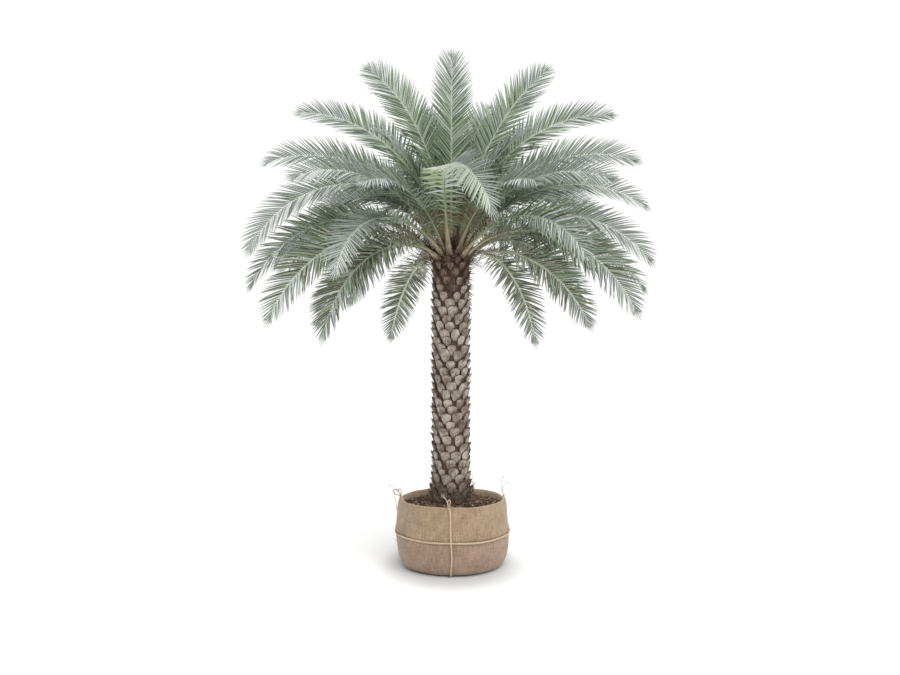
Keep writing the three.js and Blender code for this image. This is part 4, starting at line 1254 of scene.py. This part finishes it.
radius, height = cloth_profile[:, :1], cloth_profile[:, 1:]
angle = np.arange(CLOTH_SIDES + 1)[None] / CLOTH_SIDES * 2 * np.pi + np.pi / 2


def around(waves, power):
    """Uneven waves round the ball that meet where they began."""
    total = np.zeros_like(angle)
    for wave in waves:
        total = total + np.sin(wave * angle + rng.uniform(0, 2 * np.pi)) * rng.uniform(0.5, 1) / wave**power
    return total


lumps = LUMP_HEIGHT * around(range(2, 9), 0.3)
lumps = lumps * np.sin(height * LUMP_WAVES + LUMP_TURN * around(range(1, 4), 0.5))
creases = np.abs(around(range(CREASES - 9, CREASES + 10, 3), 0))
gathers = np.exp(-height / CREASE_REACH) * creases * CREASE_DEPTH
wall_share = np.clip((np.arange(len(cloth_profile)) - len(UNDERSIDE)) / (len(WALL) - 1), 0, 1)[:, None]
belt_dent, upright_dent = rope_dents(angle, height, wall_share)
inside = np.arange(len(cloth_profile))[:, None] >= len(UNDERSIDE) + len(WALL)
on_wall = smoothstep(height, *FOOT_SPAN) * (radius > UNDERSIDE_RADIUS)
change = np.where(inside, HEM_LUMPS, 1.0) * on_wall * (lumps - gathers + belt_dent + upright_dent)
rim_wave = RIM_WAVE * around((3, 5, 8, 13), 0.4) * smoothstep(height, *RIM_SPAN)
cloth_radius = radius + change
cloth_height = np.maximum(height + rim_wave, 0.0)
cloth_points = np.stack([cloth_radius * np.cos(angle), cloth_radius * np.sin(angle), cloth_height], -1)
cloth_uv = np.stack(np.broadcast_arrays(angle * BALL_RADIUS, cloth_lengths[:, None]), -1)
cloth_kinds = np.repeat(inside[1:, 0], 2 * CLOTH_SIDES).astype(int)
cloth = Heap()
cloth.add(cloth_points, grid_faces(len(cloth_profile), CLOTH_SIDES + 1, False), cloth_kinds, cloth_uv)
make_piece("burlap", cloth, [BURLAP, HEM], ["burlap_wrap"])

# %% [markdown]
# ## The rope
# One jute rope goes round the ball's belly and four climb its sides to the rim. Two end there in
# a narrow upright loop, one in a loose bow and one in a pair of frayed ends. Three twisted
# strands give a rope its outline, so the swept ring has three lobes that turn as it goes along.

# %% Finish of the rope
JUTE_MM = 8  # tufts of jute, drawn coarser than its hairs so that they show


def rope_finish(name, pale, dark):
    """Laid jute: dull and hairy, pale on the strands and darker between them as painted shade."""
    material, tree, shader = new_finish(name, pale, 0.9)
    place = add_node(tree, "TexCoord").outputs["Object"]
    tufts = add_node(tree, "TexNoise", {"Vector": place, "Scale": per_metre(JUTE_MM), "Detail": 4.0})
    tufts = tufts.outputs["Fac"]
    lay_pattern(tree, shader, tufts, (0.35, 0.65), dark, pale, height=tufts, strength=0.5, distance=0.001)
    return material


ROPE_FINISHES = [
    rope_finish("jute rope", "#c6b097", "#a28a72"),
    rope_finish("frayed jute", "#cdc4b6", "#a59a8b"),
]
LAID, FRAYED = range(len(ROPE_FINISHES))
print(len(ROPE_FINISHES), "finishes of rope")

# %% Twist the rope
ROPE_RADIUS = 0.0095
ROPE_PITCH = 0.07  # one full turn of the strands
ROPE_SIDES, ROPE_STEP = 12, 0.008
ROPE_CORE, LOBE = 0.88, 0.16  # shares of the radius: the ring's middle size, and its lobes


def add_rope(heap, path, radius, kind=LAID):
    """A three-strand rope along a path."""
    path = np.asarray(path)
    run = np.concatenate([[0], np.cumsum(np.linalg.norm(np.diff(path, axis=0), axis=1))])
    even = np.linspace(0, run[-1], max(4, int(run[-1] / ROPE_STEP)))
    line = np.stack([np.interp(even, run, path[:, i]) for i in range(3)], -1)
    lay = even[:, None] / ROPE_PITCH * 2 * np.pi
    lobes = ROPE_CORE + LOBE * np.cos(3 * (ring_turns(ROPE_SIDES) - lay))
    points, faces = tube(line, radius * lobes, ROPE_SIDES)
    heap.add(points, faces, kind)


def wall_point(share, azimuth, stand):
    """A point on the ball's wall at a share of its profile, a stand-off outside it."""
    place = share * (len(WALL) - 1)
    index = np.arange(len(WALL))
    r, h = (np.interp(place, index, WALL[:, i]) for i in (0, 1))
    slope = unit(np.stack([np.interp(place, index, np.gradient(WALL[:, i])) for i in (0, 1)], -1))
    r, h = r + slope[..., 1] * stand, h - slope[..., 0] * stand
    return np.stack(np.broadcast_arrays(r * np.cos(azimuth), r * np.sin(azimuth), h), -1)


# %% Lay the belt and the uprights
BELT_SINK, UPRIGHT_SINK = 0.003, 0.002  # how deep they lie in the cloth
BELT_POINTS, UPRIGHT_POINTS = 300, 60
BELT_WAVE, BELT_FINE_WAVE = 0.003, 0.002
UPRIGHT_FOOT, UPRIGHT_HEAD = 0.108, 0.985  # shares of the wall's profile
CROSSING_HEIGHT, CROSSING_WIDTH = 0.013, 0.022  # an upright climbs over the belt

rope = Heap()
turn = np.linspace(0, 2 * np.pi, BELT_POINTS)
belt_radius = np.interp(BELT_HEIGHT, WALL[:, 1], WALL[:, 0]) + ROPE_RADIUS - BELT_SINK
sag = BELT_WAVE * np.sin(3 * turn + 1) + BELT_FINE_WAVE * np.sin(7 * turn)
belt = np.stack([belt_radius * np.cos(turn), belt_radius * np.sin(turn), BELT_HEIGHT + sag], -1)
add_rope(rope, belt, ROPE_RADIUS)
share = np.linspace(UPRIGHT_FOOT, UPRIGHT_HEAD, UPRIGHT_POINTS)
crossing = bell(wall_point(share, 0, 0)[:, 2] - BELT_HEIGHT, CROSSING_WIDTH)
stand = ROPE_RADIUS - UPRIGHT_SINK + CROSSING_HEIGHT * crossing
for azimuth, lean in zip(UPRIGHT_AZIMUTHS, UPRIGHT_LEANS):
    add_rope(rope, wall_point(share, upright_azimuth(azimuth, lean, share), stand), ROPE_RADIUS)
print("belt and", len(UPRIGHT_AZIMUTHS), "uprights laid")

# %% Strands of the ties
# Each strand's points are (outwards, sideways, up) in metres from the knot under the rim.
LOOP = [(0, 0.005, 0.01), (-0.004, 0.009, 0.035), (-0.016, 0.013, 0.060), (-0.022, 0.003, 0.078),
        (-0.016, -0.011, 0.058), (-0.004, -0.008, 0.035), (0, -0.004, 0.01)]
EAR = [(0, 0.004, 0.01), (0.025, 0.016, 0.05), (0.058, 0.03, 0.072), (0.070, 0.04, 0.046),
       (0.038, 0.024, 0.02), (0, 0.01, 0.005)]
OTHER_EAR = [(0, -0.004, 0.01), (0, -0.022, 0.05), (0.02, -0.05, 0.062), (0.036, -0.06, 0.036),
             (0.015, -0.03, 0.014), (0, -0.01, 0.005)]
HANGING_END = [(0, 0, 0.01), (0.045, -0.012, 0.07), (0.07, -0.02, 0.02), (0.052, -0.016, -0.06),
               (0.046, -0.03, -0.12)]
SHORT_END = [(0, 0.002, 0.01), (0.025, 0.014, 0.06), (0.05, 0.01, 0.09), (0.085, 0.022, 0.10)]
STUB_END = [(0, -0.004, 0.02), (-0.002, -0.010, 0.05), (-0.006, -0.022, 0.078), (-0.002, -0.036, 0.094)]
TALL_END = [(0, 0.004, 0.01), (-0.012, 0.012, 0.06), (-0.02, 0.008, 0.12), (0.0, 0.016, 0.165)]
LOW_END = [(0, -0.004, 0.01), (-0.010, -0.016, 0.05), (-0.006, -0.03, 0.10), (0.015, -0.034, 0.13)]
TIES = ([TALL_END, LOW_END], [LOOP, SHORT_END], [EAR, OTHER_EAR, HANGING_END, SHORT_END], [LOOP, STUB_END])
CLOSED = (LOOP, EAR, OTHER_EAR)

# %% Knots and frayed ends at the rim
TIE_RADIUS, END_RADIUS = 0.0055, 0.0036
TIE_POINTS = 30
KNOT_PLACE = 0.94  # share of the wall's profile
KNOT_SIZE, KNOT_RADIUS, KNOT_STAND, KNOT_POINTS = 0.012, 0.006, 0.003, 25
KNOT_RISE, KNOT_OUT = 0.5, 0.6  # the knot's ring leans out as it rises
FRAYS, FRAY_LENGTHS = 9, (0.024, 0.064)
HAIR_STEPS, HAIR_SIDES, HAIR_WANDER = 4, 3, 0.3
HAIR_RADII = (0.0016, 0.0007)
LOWEST_HAIR = np.array([-np.inf, -np.inf, 0.003])  # hairs stay off the floor


def add_hair(heap, start, direction, reach):
    """One loose fibre."""
    hair = [start]
    for _ in range(HAIR_STEPS):
        direction = unit(direction + rng.normal(0, HAIR_WANDER, 3))
        hair.append(np.maximum(hair[-1] + direction * reach / HAIR_STEPS, LOWEST_HAIR))
    points, faces = tube(hair, np.linspace(*HAIR_RADII, HAIR_STEPS + 1), HAIR_SIDES)
    heap.add(points, faces, FRAYED)


for azimuth, lean, strands in zip(UPRIGHT_AZIMUTHS, UPRIGHT_LEANS, TIES):
    azimuth = upright_azimuth(azimuth, lean, KNOT_PLACE)
    out = outwards(azimuth)
    side = np.array([-out[1], out[0], 0])
    rise = np.array([0, 0, 1.0])
    knot = wall_point(KNOT_PLACE, azimuth, ROPE_RADIUS)
    for strand in strands:
        path = knot + spline(np.array(strand), TIE_POINTS) @ np.array([out, side, rise])
        if strand in CLOSED:
            add_rope(rope, path, TIE_RADIUS)
            continue
        add_rope(rope, path, END_RADIUS, FRAYED)
        for _ in range(FRAYS):
            add_hair(rope, path[-1], unit(path[-1] - path[-2]), rng.uniform(*FRAY_LENGTHS))
    turn = np.linspace(0, 2 * np.pi, KNOT_POINTS)[:, None]
    ring = np.cos(turn) * side + np.sin(turn) * (rise * KNOT_RISE + out * KNOT_OUT)
    add_rope(rope, knot + out * KNOT_STAND + KNOT_SIZE * ring, KNOT_RADIUS)
print(len(TIES), "ties at the rim")

# %% Loose fibres of the cloth
LOOSE_FIBRES, LOOSE_LENGTHS = 150, (0.02, 0.07)
LOOSE_SPAN = (0.15, 0.99)  # shares of the wall's profile
LOOSE_ROOT = -0.002  # they start inside the cloth
LOOSE_OUT, LOOSE_SPREAD = 0.6, 0.7

for _ in range(LOOSE_FIBRES):
    azimuth = rng.uniform(0, 2 * np.pi)
    start = wall_point(rng.uniform(*LOOSE_SPAN), azimuth, LOOSE_ROOT)
    way = unit(outwards(azimuth) * LOOSE_OUT + rng.normal(0, LOOSE_SPREAD, 3))
    add_hair(rope, start, way, rng.uniform(*LOOSE_LENGTHS))
make_piece("jute_ropes", rope, ROPE_FINISHES, ["jute_rope"])

# %% [markdown]
# ## The soil
# The ball's top is dark soil under a mulch of bark chips and broken roots. A bumpy disc carries
# the soil's colour, and about a thousand irregular chips lie on it, since chips that catch the
# light are what tells mulch from a painted disc.

# %% Finishes of the soil
CRUMB_MM, BARK_MM = 18, 10


def soil_finish(name, pale, dark, grain_mm):
    """Damp soil and bark: dull, dark, and different in every crumb."""
    material, tree, shader = new_finish(name, pale, 1.0)
    place = add_node(tree, "TexCoord").outputs["Object"]
    grain = {"Vector": place, "Scale": per_metre(grain_mm), "Detail": 8.0, "Roughness": 0.7}
    crumbs = add_node(tree, "TexNoise", grain).outputs["Fac"]
    # one noise colours and raises the crumbs: their own tones, and painted shade in the hollows
    lay_pattern(tree, shader, crumbs, (0.35, 0.65), dark, pale, height=crumbs, strength=1.0, distance=0.006)
    return material


SOIL = soil_finish("damp soil", "#403024", "#18100b", CRUMB_MM)
CHIP_FINISHES = [
    soil_finish("bark chip dark", "#4c392c", "#261b13", BARK_MM),
    soil_finish("bark chip red", "#846149", "#4f3728", BARK_MM),
    soil_finish("bark chip pale", "#bba68c", "#84705b", BARK_MM),
]
RED_CHIP, PALE_CHIP = 1, 2  # their places in that list
print(1 + len(CHIP_FINISHES), "finishes of soil and bark")

# %% The soil's top
SOIL_EDGE, SOIL_MIDDLE = 0.474, 0.02  # radii of the outermost and the innermost ring
SOIL_RINGS, SOIL_SIDES = 34, 140
SOIL_DROP, SOIL_SHOULDER = 0.016, 0.25  # it falls by this much from here to its edge
CRUMB_HEIGHT = 0.006


def soil_height(radius):
    return mix(SOIL_TOP, SOIL_TOP - SOIL_DROP, smoothstep(radius, SOIL_SHOULDER, SOIL_EDGE))


soil = Heap()
radius = np.linspace(SOIL_MIDDLE, SOIL_EDGE, SOIL_RINGS)[:, None]
angle = ring_turns(SOIL_SIDES)[None]
height = soil_height(radius) + rng.normal(0, CRUMB_HEIGHT, (SOIL_RINGS, SOIL_SIDES))
soil_points = np.stack(np.broadcast_arrays(radius * np.cos(angle), radius * np.sin(angle), height), -1)
inner_cap = cap_faces(SOIL_RINGS, SOIL_SIDES)[: SOIL_SIDES - 2]
soil.add(soil_points, np.concatenate([grid_faces(SOIL_RINGS, SOIL_SIDES, True), inner_cap]))
make_piece("soil", soil, [SOIL], ["root_ball_soil"])

# %% Bark chips
CHIPS, CHIP_MIX = 950, [0.44, 0.36, 0.20]
CHIP_LENGTHS, CHIP_WIDTHS, CHIP_THICKNESSES = (0.006, 0.024), (0.004, 0.010), (0.002, 0.005)  # halves
CHIP_WEAR, CHIP_TILT, CHIP_LIFTS = (0.6, 1.1), 0.5, (0.001, 0.014)
CHIP_RANGE = (0.15, SOIL_EDGE - 0.02)  # distances from the ball's middle
BOX_CORNERS = np.array([(x, y, z) for x in (-1, 1) for y in (-1, 1) for z in (-1, 1)], float)
BOX_FACES = np.array([(0, 1, 3), (0, 3, 2), (4, 6, 7), (4, 7, 5), (0, 4, 5), (0, 5, 1),
                      (2, 3, 7), (2, 7, 6), (0, 2, 6), (0, 6, 4), (1, 5, 7), (1, 7, 3)])


def on_soil(low, high):
    """A random place on the soil between two distances from its middle."""
    radius, angle = math.sqrt(rng.uniform(low**2, high**2)), rng.uniform(0, 2 * np.pi)
    return outwards(angle) * radius + [0, 0, soil_height(radius)]


mulch = Heap()
for _ in range(CHIPS):
    size = [rng.uniform(*span) for span in (CHIP_LENGTHS, CHIP_WIDTHS, CHIP_THICKNESSES)]
    corners = BOX_CORNERS * size * rng.uniform(*CHIP_WEAR, (8, 3))
    yaw, pitch = rng.uniform(0, 2 * np.pi), rng.normal(0, CHIP_TILT)
    turned = np.array([[math.cos(yaw), -math.sin(yaw), 0], [math.sin(yaw), math.cos(yaw), 0], [0, 0, 1]])
    level, drop = math.cos(pitch), math.sin(pitch)
    tipped = np.array([[level, 0, drop], [0, 1, 0], [-drop, 0, level]])
    chip = corners @ tipped.T @ turned.T + on_soil(*CHIP_RANGE) + [0, 0, rng.uniform(*CHIP_LIFTS)]
    mulch.add(chip, BOX_FACES, rng.choice(len(CHIP_FINISHES), p=CHIP_MIX))
print(CHIPS, "chips")

# %% Sticks among the chips
STICKS, STICK_LENGTHS, STICK_RADIUS = 320, (0.03, 0.08), 0.0024
STICK_RANGE = (0.17, SOIL_EDGE - 0.06)
STICK_LIFT, STICK_RISE, STICK_WANDER = 0.008, 0.05, 0.15

for _ in range(STICKS):
    way = outwards(rng.uniform(0, 2 * np.pi), STICK_RISE)
    start = on_soil(*STICK_RANGE) + [0, 0, STICK_LIFT]
    length, kind = rng.uniform(*STICK_LENGTHS), rng.choice([RED_CHIP, PALE_CHIP, PALE_CHIP])
    add_strand(mulch, start, way, length, STICK_RADIUS, kind, STICK_WANDER)
make_piece("mulch", mulch, CHIP_FINISHES, ["root_ball_soil"], smooth=False)

# %% [markdown]
# ## Floor, light and camera
# The palm stands on white paper under a broad soft light from above and in front, with white all
# round it to fill the crown's shade; a shadow is painted on the paper round the ball. The camera
# stands eight metres off at the height of the lowest fronds and looks level, so the trunk's sides
# stay parallel.

# %% Floor
FLOOR_SIZE, FLOOR_POINTS = 60, 5
SHADE = (0.45, 1.0)  # metres from the ball's middle between which the painted shadow fades to white
SHADE_SHIFT, SHADE_SQUEEZE = (0, 0.12, 0), (1.2, 1, 1)  # the painted shadow lies nearer to the viewer


def paper_finish(name, clean, painted_shadow):
    """White paper with a painted shadow: greyer close to the ball, where the broad light reaches it least."""
    material, tree, shader = new_finish(name, clean, 0.9)
    place = add_node(tree, "TexCoord").outputs["Object"]
    oval = add_node(tree, "Mapping", {"Vector": place, "Location": SHADE_SHIFT, "Scale": SHADE_SQUEEZE})
    reach = add_node(tree, "VectorMath", {0: oval.outputs["Vector"]}, operation="LENGTH")
    span = {"Value": reach.outputs["Value"], "From Min": SHADE[0], "From Max": SHADE[1]}
    share = add_node(tree, "MapRange", span, interpolation_type="SMOOTHSTEP")
    tones = {"Factor": share.outputs["Result"], MIX_A: linear(painted_shadow), MIX_B: linear(clean)}
    colour = add_node(tree, "Mix", tones, data_type="RGBA")
    tree.links.new(colour.outputs[MIX_COLOUR], shader.inputs["Base Color"])
    return material


line = np.linspace(-FLOOR_SIZE / 2, FLOOR_SIZE / 2, FLOOR_POINTS)
floor_points = np.stack([*np.meshgrid(line, line), np.zeros((FLOOR_POINTS, FLOOR_POINTS))], -1)
floor_mesh = bpy.data.meshes.new("floor")
floor_mesh.from_pydata(floor_points.reshape(-1, 3), [], grid_faces(FLOOR_POINTS, FLOOR_POINTS, False))
# the paper with its painted shadow round the ball
floor_mesh.materials.append(paper_finish("white paper", "#fafafa", "#c4c4c4"))
floor = bpy.data.objects.new("floor", floor_mesh)
bpy.context.scene.collection.objects.link(floor)
print("floor", FLOOR_SIZE, "m across")

# %% Light
SKY_STRENGTH = 1.03
SUN_WAY = (-0.35, 0.55, -0.76)  # from the upper right in front of the palm
SUN_WIDTH, SUN_STRENGTH = 60, 1.8  # degrees across, which gives soft shadows

world = bpy.data.worlds.new("white studio")
bpy.context.scene.world = world
world.use_nodes = True
world.node_tree.nodes["Background"].inputs["Color"].default_value = linear("#ffffff")
world.node_tree.nodes["Background"].inputs["Strength"].default_value = SKY_STRENGTH
bpy.context.scene.view_settings.view_transform = "Standard"

sun = bpy.data.lights.new("key", "SUN")
sun.angle = math.radians(SUN_WIDTH)
sun.energy = SUN_STRENGTH
lamp = bpy.data.objects.new("key", sun)
bpy.context.scene.collection.objects.link(lamp)
tilt = math.acos(-SUN_WAY[2] / np.linalg.norm(SUN_WAY))
lamp.rotation_euler = (tilt, 0, math.atan2(SUN_WAY[1], SUN_WAY[0]) - math.pi / 2)
print("sun tilted by", round(math.degrees(tilt)), "degrees")

# %% Camera
PHOTO_WIDTH, FOCAL_PIXELS = 900, 790
SENSOR_WIDTH = 36
CAMERA_PLACE = (-0.0244, -7.7, 2.19)

camera_data = bpy.data.cameras.new("camera")
camera_data.sensor_width = SENSOR_WIDTH
camera_data.lens = SENSOR_WIDTH * FOCAL_PIXELS / PHOTO_WIDTH
camera = bpy.data.objects.new("camera", camera_data)
bpy.context.scene.collection.objects.link(camera)
camera.location = CAMERA_PLACE
camera.rotation_euler = (math.pi / 2, 0, 0)
bpy.context.scene.camera = camera
print("lens", round(camera_data.lens, 1), "mm")

# %% Update the scene
bpy.context.view_layer.update()
